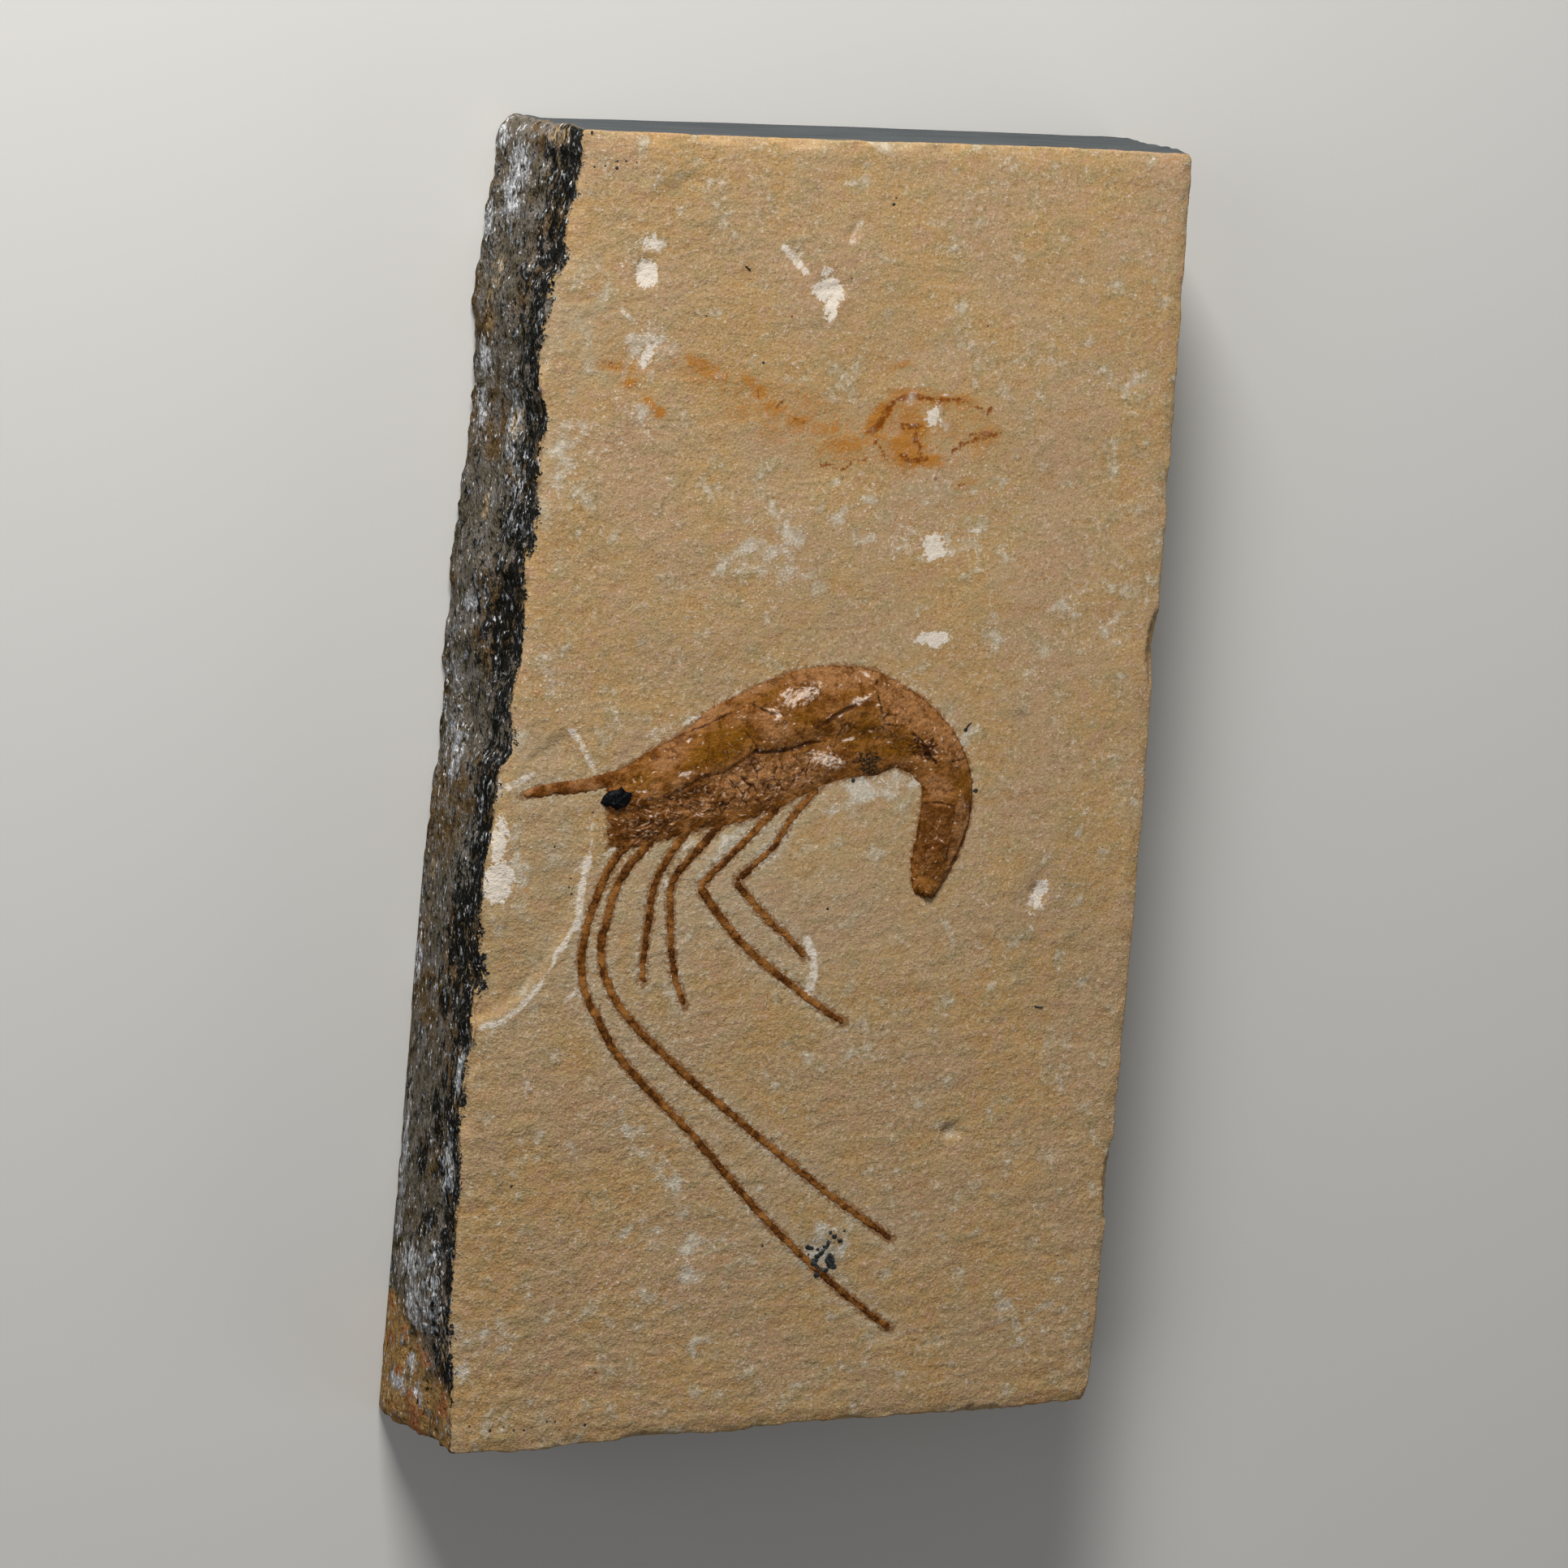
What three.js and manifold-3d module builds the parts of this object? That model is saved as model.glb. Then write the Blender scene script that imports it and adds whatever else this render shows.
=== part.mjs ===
// A fossil shrimp on a block of bedded limestone. Millimetres, +Z up.
//
// The block lies on its back. Its underside is z = 0 and its split face, which carries the
// fossil, is z = blockThickness. The origin is the centre of the underside, +Y runs along the
// block's length towards its sawn end, and +X points to its broken right side.

import * as THREE from 'three';
import { mergeVertices } from 'three/addons/utils/BufferGeometryUtils.js';
import { ImprovedNoise } from 'three/addons/math/ImprovedNoise.js';
import Module from 'manifold-3d';

const wasm = await Module();
wasm.setup();
const noise = new ImprovedNoise();
const { lerp, clamp, smoothstep } = THREE.MathUtils;

// ---- driving dimensions ----

const blockThickness = 17.5;

// Mesh lines of the block: across its width, along its length and up its sides.
const blockMesh = { across: 20, along: 54, up: 7 };
const edgeCrowding = 0.6; // how far the mesh lines gather towards the edges, 0 to 1

// The block's two outlines, as points on each edge. The left edge is ragged, the others nearly straight.
const faceOutline = {
  left: [[-30.9, -62.3], [-31.5, -57], [-32.1, -50], [-32.1, -40], [-32.5, -31], [-31.9, -23], [-31.3, -19],
    [-32.3, -10], [-31.8, -3], [-30.9, 3], [-30.7, 12], [-30.0, 22], [-29.9, 29], [-31.2, 36], [-30.7, 42],
    [-29.8, 47], [-29.0, 53], [-29.0, 57.1]],
  right: [[32.3, -57.3], [32.85, -45], [32.5, -20], [32.1, 7], [31.5, 30], [31.0, 47], [30.7, 61.2]],
  bottom: [[-30.9, -62.3], [-21.8, -61.7], [-2.4, -60.2], [17.5, -58.7], [32.3, -57.3]],
  top: [[-29.0, 57.1], [-7.4, 58.6], [16.8, 60.4], [30.7, 61.2]],
};
const baseOutline = {
  left: [[-32.2, -63.4], [-32.85, -59], [-32.6, -45], [-32.7, -14], [-31.9, 3], [-32.1, 20], [-31.6, 32],
    [-31.8, 44], [-31.5, 51], [-31.1, 56], [-30.2, 58.7]],
  right: [[32.0, -58.9], [32.4, -30], [31.8, 10], [31.4, 40], [31.2, 63.4]],
  bottom: [[-32.2, -63.4], [-5, -61.2], [15, -60.1], [32.0, -58.9]],
  top: [[-30.2, 58.7], [-0.5, 61.1], [31.2, 63.4]],
};

// Roughness of the four sides, from hand-smooth saw cut to weathered crust.
const sideRoughness = { left: 1.0, right: 0.35, bottom: 0.8, top: 0.04 };
// Bedding ledges on the weathered sides: heights above the base, and how far each steps in.
const ledges = [{ z: 5.2, step: 0.45 }, { z: 11.4, step: 0.5 }];
const rim = { width: 1.6, drop: 0.35, baseInset: 0.6, baseSpare: 0.6 };
const swell = { height: 0.55, across: 15, along: 10 };
const seatMargin = 4.6; // the face is dead flat this far round the fossil
const seatBlend = 5;

// Flakes lost from the left edge, one on each side of the rostrum. Each scar's floor starts level with
// the face along the line y = from and falls away from it by slope.
const scars = [
  { from: -2.6, slope: 0.034, outline: [[-38, -24.5], [-31, -22.7], [-27.8, -20.5], [-25.2, -16.8],
    [-23.5, -13.6], [-22.8, -10.4], [-22.5, -6], [-23.1, -3.6], [-26, -3.3], [-31, -3.6], [-38, -5]] },
  { from: 0, slope: 0.09, outline: [[-38, 0.2], [-31, 0.6], [-28, 2.2], [-26.2, 3.7], [-25.1, 3.4],
    [-24.0, 1.7], [-23.6, 0.7], [-27, 0.3], [-31, 0.1]] },
];

// Small spalls and bruises: centre, half widths, turn in degrees and depth.
const spalls = [
  { x: 22.2, y: -9.0, a: 0.9, b: 1.5, turn: -12, depth: 0.5 },
  { x: 15.7, y: -31.8, a: 1.1, b: 0.8, turn: 0, depth: 0.5 },
  { x: -4.2, y: 45.3, a: 1.7, b: 1.9, turn: 20, depth: 0.35 },
  { x: -7.6, y: 47.9, a: 0.8, b: 1.6, turn: 35, depth: 0.3 },
  { x: -21.9, y: 45.5, a: 1.1, b: 1.4, turn: 0, depth: 0.35 },
  { x: -2.2, y: 51.0, a: 0.5, b: 1.2, turn: -25, depth: 0.25 },
];

// Chips along the edges of the face: centre on the edge, half widths and depth.
const edgeChips = [
  { x: -31.0, y: 37, a: 1.6, b: 3.4, depth: 1.6 },
  { x: -30.6, y: 20, a: 1.2, b: 2.4, depth: 1.1 },
  { x: -33.0, y: -31, a: 1.8, b: 3.0, depth: 1.8 },
  { x: -32.6, y: -53, a: 1.7, b: 4.2, depth: 2.0 },
  { x: 33.2, y: -57.6, a: 2.4, b: 2.2, depth: 3.4 },
  { x: 32.2, y: 15, a: 1.0, b: 3.0, depth: 1.0 },
  { x: 33.2, y: -36, a: 1.1, b: 4.0, depth: 1.2 },
  { x: -16.5, y: 58.4, a: 3.0, b: 1.2, depth: 0.7 },
  { x: -8.5, y: 58.9, a: 3.4, b: 1.3, depth: 0.8 },
  { x: 0.5, y: 59.6, a: 3.2, b: 1.1, depth: 0.6 },
  { x: -12, y: -62.0, a: 3.0, b: 1.4, depth: 1.5 },
  { x: 8, y: -60.4, a: 2.4, b: 1.3, depth: 1.3 },
  { x: 22, y: -59.4, a: 3.2, b: 1.2, depth: 1.2 },
];

// The shrimp's back and belly, as pairs of points from its brow round to the tip of its tail.
const backLine = [[-21.5, 0.3], [-17.9, 2.4], [-14.3, 4.7], [-10.1, 7.9], [-5.1, 10.4], [0.9, 11.5],
  [6.4, 10.1], [11.1, 7.1], [14.1, 2.9], [14.7, -2.1], [13.3, -6.9], [12.1, -8.8], [10.9, -9.6]];
const bellyLine = [[-20.7, -6.6], [-17.1, -6.2], [-12.9, -4.9], [-8.9, -3.9], [-5.1, -2.5], [-1.1, -0.2],
  [2.9, 1.5], [6.5, 2.2], [8.7, 1.2], [9.4, -1.6], [9.2, -6.6], [9.7, -8.8], [10.5, -9.5]];
const bodyMesh = { along: 48, across: 9 };
const bodyHeight = { margin: 0.16, brow: 0.4, crown: 0.95, tail: 0.6 };
const grooveDepth = 0.3; // the furrow below the carapace and the flanks
// Where each hard ring of the body ends, counted in pairs of points from the brow.
const ringEnds = [3.5, 4.75, 5.5, 6.6, 8, 8.8, 10.2, 12];
const ringStep = 0.26;

// Low strips of the same mineral: path, widths at root and tip, and height.
const limbHeight = 0.38;
const limbs = {
  rostrum: {
    path: [[-20.5, -0.2], [-24, -1.1], [-26.6, -1.5], [-29.3, -2.15]],
    root: 1.3, tip: 0.75, steps: 8,
  },
  leftAntenna: {
    path: [[-18.5, -5.6], [-20.4, -8.1], [-21.6, -11.5], [-22.4, -15.3], [-22.1, -19], [-20.4, -22.2],
      [-17.6, -26.1], [-10.1, -32.8], [-2.6, -40.1], [4.9, -46.3], [11.3, -50.7]],
    root: 0.85, tip: 0.5, steps: 30,
  },
  rightAntenna: {
    path: [[-16.6, -5.6], [-19.2, -9], [-20.3, -12.8], [-20.6, -16.4], [-19.3, -19.7], [-17.3, -22.2],
      [-12.1, -26.6], [-6.1, -31], [2.9, -37.3], [10.6, -42.1]],
    root: 0.85, tip: 0.5, steps: 26,
  },
  firstLeg: {
    path: [[-12.4, -3.2], [-14.3, -6.1], [-15.9, -9.3], [-16.3, -13], [-16.5, -17.2], [-16.3, -18.8]],
    root: 0.85, tip: 0.5, steps: 13,
  },
  secondLeg: {
    path: [[-9.6, -3.2], [-12.6, -6.9], [-14.3, -9.4], [-14.2, -13], [-13.5, -17.4], [-12.2, -20.7]],
    root: 0.85, tip: 0.5, steps: 15,
  },
  thirdThigh: { path: [[-4.6, -2.0], [-7.6, -5.3], [-11.7, -9.7]], root: 0.95, tip: 0.8, steps: 7 },
  thirdShin: {
    path: [[-11.7, -9.7], [-9.2, -12.6], [-6.3, -15.4], [-2.6, -17.9], [1.1, -20.3], [3.8, -21.8]],
    root: 0.9, tip: 0.5, steps: 13,
  },
  fourthThigh: {
    path: [[-0.9, -0.1], [-3.2, -2.9], [-4.8, -5.7], [-8.2, -9.1]],
    root: 0.9, tip: 0.7, steps: 8,
  },
  fourthShin: {
    path: [[-8.2, -9.1], [-5.1, -12.1], [-2.0, -14.5], [-0.6, -15.8]],
    root: 0.75, tip: 0.5, steps: 8,
  },
};

const eye = { x: -20.6, y: -2.15, a: 1.4, b: 0.95, height: 0.95, turn: 8 };

// ---- helpers ----

// A smooth curve through points given as [x, y].
function curveThrough(points) {
  return new THREE.SplineCurve(points.map(([x, y]) => new THREE.Vector2(x, y)));
}

// Moves every vertex of a box geometry, given as fractions 0 to 1 of its three sides, to place(u, v, w).
function bendBox(segments, place) {
  const geometry = new THREE.BoxGeometry(1, 1, 1, ...segments);
  const position = geometry.attributes.position;
  for (let i = 0; i < position.count; i += 1) {
    const u = position.getX(i) + 0.5;
    const v = position.getY(i) + 0.5;
    const w = position.getZ(i) + 0.5;
    position.setXYZ(i, ...place(u, v, w));
  }
  return geometry;
}

function toSolid(geometry) {
  geometry.deleteAttribute('normal');
  geometry.deleteAttribute('uv');
  const merged = mergeVertices(geometry, 1e-5);
  const vertProperties = new Float32Array(merged.attributes.position.array);
  const triVerts = new Uint32Array(merged.index.array);
  return new wasm.Manifold(new wasm.Mesh({ numProp: 3, vertProperties, triVerts }));
}

function toMesh(solid, name, material) {
  const { vertProperties, triVerts } = solid.getMesh();
  const geometry = new THREE.BufferGeometry();
  geometry.setAttribute('position', new THREE.BufferAttribute(vertProperties, 3));
  geometry.setIndex(new THREE.BufferAttribute(triVerts, 1));
  geometry.computeVertexNormals();
  const mesh = new THREE.Mesh(geometry, material);
  mesh.name = name;
  return mesh;
}

// A box from z = low to z = high, wider than the block, for cutting a solid off flat.
function slice(low, high) {
  return toSolid(new THREE.BoxGeometry(200, 200, high - low).translate(0, 0, (low + high) / 2));
}

// ---- the shrimp ----

const back = curveThrough(backLine);
const belly = curveThrough(bellyLine);

// A place on the body: s runs from brow to tail, t from belly to back.
function bodyPoint(s, t) {
  return belly.getPoint(s).lerp(back.getPoint(s), t);
}

// Height of the body over the face: a crown across it, a furrow under the flanks and a step where
// each ring ends.
function bodyRelief(s, t) {
  const crown = Math.sqrt(Math.max(0, 1 - Math.abs(2 * t - 1) ** 2.6));
  const ridge = lerp(0.62, 1, smoothstep(t, 0.3, 0.55));
  const front = lerp(bodyHeight.brow, bodyHeight.crown, smoothstep(s, 0, 0.14));
  const top = lerp(front, bodyHeight.tail, smoothstep(s, 0.55, 1));
  const furrow = grooveDepth * Math.exp(-(((t - 0.42) / 0.09) ** 2)) * (1 - smoothstep(s, 0.5, 0.68));
  const pair = s * (backLine.length - 1);
  const ring = ringEnds.findIndex((end) => pair <= end + 1e-6);
  const start = ring > 0 ? ringEnds[ring - 1] : 0;
  const step = ring > 0 ? ringStep * ((pair - start) / (ringEnds[ring] - start) - 0.5) : 0;
  return bodyHeight.margin + (top - bodyHeight.margin + step) * crown * ridge - furrow * crown;
}

function makeBody() {
  return toSolid(bendBox([bodyMesh.along, bodyMesh.across, 1], (u, v, w) => {
    const { x, y } = bodyPoint(u, v);
    return [x, y, w > 0.5 ? blockThickness + bodyRelief(u, v) : blockThickness - 1];
  }));
}

// A low strip along a path, with a ridged top and a narrower tip.
function makeLimb({ path, root, tip, steps }) {
  const curve = curveThrough(path);
  return toSolid(bendBox([steps, 2, 1], (u, v, w) => {
    const middle = curve.getPointAt(u);
    const along = curve.getTangentAt(u);
    const side = (0.5 - v) * lerp(root, tip, u);
    const ridge = Math.abs(v - 0.5) < 0.1 ? 1 : 0.45;
    const high = blockThickness + limbHeight * ridge * lerp(1, 0.75, u);
    return [middle.x + along.y * side, middle.y - along.x * side, w > 0.5 ? high : blockThickness - 1];
  }));
}

function makeEye() {
  const ball = new THREE.IcosahedronGeometry(1, 2);
  ball.scale(eye.a, eye.b, eye.height);
  ball.rotateZ(THREE.MathUtils.degToRad(eye.turn));
  ball.translate(eye.x, eye.y, blockThickness);
  return toSolid(ball);
}

function makeShrimp() {
  let shrimp = makeBody().add(makeEye());
  for (const limb of Object.values(limbs)) {
    shrimp = shrimp.add(makeLimb(limb));
  }
  return shrimp.subtract(slice(blockThickness - 5, blockThickness));
}

// ---- the block ----

// Points that the fossil covers, for keeping the face flat under it.
function fossilPoints() {
  const points = [];
  for (let s = 0; s <= 1; s += 0.025) {
    for (let t = 0; t <= 1; t += 0.2) {
      points.push(bodyPoint(s, t));
    }
  }
  for (const { path } of Object.values(limbs)) {
    points.push(...curveThrough(path).getSpacedPoints(30));
  }
  return points;
}

const covered = fossilPoints();

// 0 under and near the fossil, 1 well away from it.
function awayFromFossil(x, y) {
  const nearest = Math.min(...covered.map((point) => Math.hypot(point.x - x, point.y - y)));
  return smoothstep(nearest, seatMargin, seatMargin + seatBlend);
}

// Gathers evenly spaced mesh lines towards both ends.
function crowd(t) {
  return lerp(t, 0.5 - 0.5 * Math.cos(Math.PI * t), edgeCrowding);
}

// A patch between four edge curves that share their corners.
function makePatch(outline) {
  const edge = {};
  for (const [name, points] of Object.entries(outline)) {
    edge[name] = curveThrough(points);
  }
  return (u, v) => {
    const acrossX = edge.left.getPointAt(v).lerp(edge.right.getPointAt(v), u);
    const acrossY = edge.bottom.getPointAt(u).lerp(edge.top.getPointAt(u), v);
    const low = edge.bottom.getPoint(0).lerp(edge.bottom.getPoint(1), u);
    const high = edge.top.getPoint(0).lerp(edge.top.getPoint(1), u);
    return acrossX.add(acrossY).sub(low.lerp(high, v));
  };
}

const facePatch = makePatch(faceOutline);
const basePatch = makePatch(baseOutline);

// How far a point of a side is worn inwards: rough crust and ledges, always into the stone.
function sideWear(x, y, z, roughness) {
  const coarse = noise.noise(x / 7 + 3.1, y / 7, z / 3.4);
  const fine = noise.noise(x / 2.6, y / 2.6 + 7.7, z / 2.1);
  let wear = clamp(0.35 + 0.8 * coarse + 0.7 * fine, 0, 1.3);
  for (const ledge of ledges) {
    const edge = ledge.z + 1.6 * noise.noise(x / 9, y / 12, 5.5);
    const present = smoothstep(noise.noise(x / 10, y / 14, ledge.z), -0.2, 0.2);
    wear += ledge.step * smoothstep(z, edge - 0.6, edge + 0.6) * present;
  }
  return roughness * wear;
}

function blockPoint(uEven, vEven, wEven) {
  const u = crowd(uEven);
  const v = crowd(vEven);
  const w = crowd(wEven);
  const point = basePatch(u, v).lerp(facePatch(u, v), w);
  const onTop = wEven > 0.999;
  const onBase = wEven < 0.001;
  let z = onBase ? -rim.baseSpare : w * blockThickness;
  if (uEven < 0.001) point.x += sideWear(point.x, point.y, z, sideRoughness.left) * (onTop ? 0.3 : 1);
  if (uEven > 0.999) point.x -= sideWear(point.x, point.y, z, sideRoughness.right) * (onTop ? 0.3 : 1);
  if (vEven < 0.001) point.y += sideWear(point.x, point.y, z, sideRoughness.bottom) * (onTop ? 0.3 : 1);
  if (vEven > 0.999) point.y -= sideWear(point.x, point.y, z, sideRoughness.top);
  if (onBase) {
    point.x -= Math.sign(uEven - 0.5) * (Math.abs(uEven - 0.5) > 0.499 ? rim.baseInset : 0);
    point.y -= Math.sign(vEven - 0.5) * (Math.abs(vEven - 0.5) > 0.499 ? rim.baseInset : 0);
  }
  if (onTop) {
    const far = awayFromFossil(point.x, point.y);
    const toEdge = Math.min(u, 1 - u) * 62;
    const toEnd = Math.min(v, 1 - v) * 120;
    const worn = 1 - clamp(Math.min(toEdge, toEnd) / rim.width, 0, 1);
    const lift = swell.height * noise.noise(point.x / swell.across, point.y / swell.along, 0.4);
    z += far * (Math.min(lift, 0.25) - rim.drop * worn ** 2 * (0.6 + 0.8 * Math.abs(lift)));
  }
  return [point.x, point.y, z];
}

// A shallow prism over a scar's outline, its floor falling away from the rostrum.
function makeScar({ from, slope, outline }) {
  const closed = curveThrough([...outline, outline[0]]).getPoints(outline.length * 2);
  const shape = new THREE.Shape(closed.slice(0, -1));
  const prism = new THREE.ExtrudeGeometry(shape, { depth: 3, bevelEnabled: false });
  const position = prism.attributes.position;
  for (let i = 0; i < position.count; i += 1) {
    const depth = slope * Math.abs(position.getY(i) - from);
    position.setZ(i, position.getZ(i) + blockThickness - depth);
  }
  return toSolid(prism);
}

// A lens-shaped hollow whose lowest point is depth below the face.
function makeHollow({ x, y, a, b, turn = 0, depth }) {
  const lens = new THREE.IcosahedronGeometry(1, 1);
  lens.scale(a, b, depth);
  lens.rotateZ(THREE.MathUtils.degToRad(turn));
  lens.translate(x, y, blockThickness);
  return toSolid(lens);
}

function makeBlock() {
  const { across, along, up } = blockMesh;
  let block = toSolid(bendBox([across, along, up], blockPoint));
  for (const scar of scars) {
    block = block.subtract(makeScar(scar));
  }
  for (const hollow of [...spalls, ...edgeChips]) {
    block = block.subtract(makeHollow(hollow));
  }
  return block.subtract(slice(-5, 0));
}

// ---- the finished object ----

const limestone = new THREE.MeshStandardMaterial({ color: 0xb99568, roughness: 0.85, metalness: 0 });
const fossilFilm = new THREE.MeshStandardMaterial({ color: 0x7d4a22, roughness: 0.45, metalness: 0 });

const fossil = new THREE.Group();
fossil.add(toMesh(makeBlock(), 'limestone_slab', limestone));
fossil.add(toMesh(makeShrimp(), 'fossil_shrimp', fossilFilm));

export default fossil;
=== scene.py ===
import math

import bpy
import numpy as np
from mathutils import Matrix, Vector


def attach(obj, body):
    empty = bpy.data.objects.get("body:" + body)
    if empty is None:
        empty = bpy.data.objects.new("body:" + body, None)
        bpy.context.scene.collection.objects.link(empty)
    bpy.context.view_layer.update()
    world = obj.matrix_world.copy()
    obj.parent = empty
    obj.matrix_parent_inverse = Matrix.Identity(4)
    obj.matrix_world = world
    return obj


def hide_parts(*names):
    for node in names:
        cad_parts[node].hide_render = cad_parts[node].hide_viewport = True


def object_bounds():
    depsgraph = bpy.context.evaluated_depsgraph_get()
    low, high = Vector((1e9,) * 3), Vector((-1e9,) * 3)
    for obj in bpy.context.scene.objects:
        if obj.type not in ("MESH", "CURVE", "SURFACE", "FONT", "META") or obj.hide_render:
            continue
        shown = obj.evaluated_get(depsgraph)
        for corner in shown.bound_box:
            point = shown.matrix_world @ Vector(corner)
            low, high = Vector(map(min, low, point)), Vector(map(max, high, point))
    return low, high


# A fossil shrimp lying in low relief on the split face of a small limestone block.
# Lengths are in millimetres until a mesh is made, when they turn to metres.

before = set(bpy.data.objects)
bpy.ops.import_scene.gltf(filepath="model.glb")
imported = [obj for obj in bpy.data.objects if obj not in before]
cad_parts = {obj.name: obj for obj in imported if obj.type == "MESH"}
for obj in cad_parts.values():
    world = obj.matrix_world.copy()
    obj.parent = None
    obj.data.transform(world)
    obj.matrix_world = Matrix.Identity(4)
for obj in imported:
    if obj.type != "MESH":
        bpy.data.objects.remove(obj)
cadLow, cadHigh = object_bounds()
millimetre = 0.001  # in metres
splitPlane = 17.5  # height of the split face above the underside
crowding = .6  # how far mesh lines gather towards the ends of a grid
print("frame loaded")


def scramble(x, y, z, seed):
    # Whole-number cells to repeatable numbers from -1 to 1, by multiplying and folding bits.
    mask = 0x7fffffff
    bits = ((x * 73856093) ^ (y * 19349663) ^ (z * 83492791) ^ (seed * 69069 + 1234567)) & mask
    bits = ((bits ^ (bits >> 13)) * 1274126177) & mask
    bits = ((bits ^ (bits >> 15)) * 668265263) & mask
    return (bits ^ (bits >> 14)) / (mask / 2) - 1


def noise(x, y, z=0.0, seed=0):
    # Gradient noise: every lattice corner has a random slope, and the eight slopes round a point
    # are blended by the fade 6f^5 - 15f^4 + 10f^3. The result runs from about -1 to 1.
    x, y, z = np.broadcast_arrays(*[np.asarray(a, float) for a in (x, y, z)])
    cells = [np.floor(a).astype(np.int64) for a in (x, y, z)]
    parts = [a - np.floor(a) for a in (x, y, z)]
    fades = [f ** 3 * (f * (f * 6 - 15) + 10) for f in parts]
    total = np.zeros(x.shape)
    for corner in range(8):
        steps = [corner & 1, corner >> 1 & 1, corner >> 2 & 1]
        here = [c + k for c, k in zip(cells, steps)]
        slope = sum(scramble(*here, seed * 7 + axis) * (parts[axis] - steps[axis]) for axis in range(3))
        total += slope * np.prod([f if k else 1 - f for f, k in zip(fades, steps)], axis=0)
    return total * 1.6


def layered(x, y, z=0.0, octaves=3, seed=0, gain=.5):
    # Octaves of noise added up, each twice as fine as the one before and weaker by the gain.
    x, y, z = (np.asarray(a) for a in (x, y, z))
    return sum(noise(x * 2 ** k, y * 2 ** k, z * 2 ** k, seed + k) * gain ** k for k in range(octaves))


cloudKinds = {
    "slant": .16, "stretch": 2.4,  # the bands' turn in radians, and how far they are drawn out
    # features per mm, strength, octaves, seed, gain
    "broad": (.12, .30, 3, 151, .5), "bands": (.85, .24, 2, 152, .72), "middle": (.55, .23, 2, 155, .76),
}


def cloudFields(xyz):
    # Soft clouds round one half: broad patches, bands drawn out across the block, middling spots.
    x, y, z = np.asarray(xyz, float).T
    c, s = math.cos(cloudKinds["slant"]), math.sin(cloudKinds["slant"])
    banded = (x * c + y * s) / cloudKinds["stretch"], y * c - x * s
    fields = []
    for kind, (u, v) in {"broad": (x, y), "bands": banded, "middle": (x, y)}.items():
        size, strength, *rest = cloudKinds[kind]
        fields.append(.5 + strength * layered(u * size, v * size, z * size, *rest))
    return fields


def fade(value, low, high):
    # Smooth step: 0 below low, 1 above high, 3t^2 - 2t^3 between.
    t = np.clip((value - low) / (high - low), 0, 1)
    return t * t * (3 - 2 * t)


def between(low, high, share):
    # From low to high as the share goes from 0 to 1.
    return low + (high - low) * share


def smoothLine(points, perSpan=14):
    # Catmull-Rom curve through the points, as many small straight pieces.
    p = np.asarray(points, float)
    wide = np.vstack([2 * p[0] - p[1], p, 2 * p[-1] - p[-2]])
    a, b, c, d = (wide[k:len(wide) - 3 + k, None] for k in range(4))
    t = np.linspace(0, 1, perSpan, endpoint=False)[None, :, None]
    bend, twist = 2 * a - 5 * b + 4 * c - d, 3 * b - a - 3 * c + d
    curve = .5 * (2 * b + (c - a) * t + bend * t ** 2 + twist * t ** 3)
    return np.vstack([curve.reshape(-1, p.shape[1]), p[-1:]])


def lineLength(line):
    # Length run from the first point up to each point of the line.
    return np.concatenate([[0], np.cumsum(np.linalg.norm(np.diff(line, axis=0), axis=1))])


def pick(t, share, line):
    # The point of a line at t, between points that lie at the given shares.
    return np.stack([np.interp(t, share, line[:, k]) for k in range(line.shape[1])], axis=-1)


def along(points, t, byLength=True):
    # The point at share t of a smooth curve, by its length or by the count of its points.
    line = smoothLine(points)
    share = lineLength(line) if byLength else np.arange(len(line))
    return pick(t, share / share[-1], line)


def fromLine(x, y, line):
    # Distance to a broken line: each point is dropped on each straight piece, and the nearest wins.
    best = np.full(x.shape, 1e9)
    for (ax, ay), (bx, by) in zip(line[:-1], line[1:]):
        dx, dy = bx - ax, by - ay
        t = np.clip(((x - ax) * dx + (y - ay) * dy) / max(dx * dx + dy * dy, 1e-9), 0, 1)
        best = np.minimum(best, (x - ax - t * dx) ** 2 + (y - ay - t * dy) ** 2)
    return np.sqrt(best)


def inOutline(x, y, outline):
    # Distance inside a closed outline, negative outside. A point is inside when a ray from it crosses
    # the outline an odd number of times.
    ring = np.vstack([outline, outline[:1]])
    odd = np.zeros(x.shape, bool)
    for (ax, ay), (bx, by) in zip(ring[:-1], ring[1:]):
        if ay != by:
            odd ^= ((ay > y) != (by > y)) & (x < (bx - ax) * (y - ay) / (by - ay) + ax)
    return np.where(odd, 1, -1) * fromLine(x, y, ring)


def inSpot(x, y, spot):
    # About the distance inside an ellipse (x, y, half width, half height, turn if any), negative outside.
    cx, cy, a, b, turn = [*spot, 0][:5]
    c, s = math.cos(math.radians(turn)), math.sin(math.radians(turn))
    px, py = (x - cx) * c + (y - cy) * s, (y - cy) * c - (x - cx) * s
    return (1 - np.hypot(px / a, py / b)) * min(a, b)


def strongest(x, y, spots, soft=.5):
    # Each spot counts by its strength, which comes last, fading out over its rim; the strongest wins.
    best = np.zeros(x.shape)
    for *shape, strength in spots:
        inside = inSpot(x, y, shape) / min(shape[2], shape[3])
        best = np.maximum(best, strength * fade(inside, -soft, soft))
    return best


def lineField(x, y, lines):
    # Distance inside the nearest line of its own half width, negative outside.
    return np.max([half - fromLine(x, y, smoothLine(path, 5)) for half, path in lines], axis=0)


def clipToFrame(xyz):
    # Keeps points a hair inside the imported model's box.
    hair = .02
    low, high = np.array(cadLow) / millimetre + hair, np.array(cadHigh) / millimetre - hair
    low[2] = 0
    return np.clip(xyz, low, high)


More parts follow.
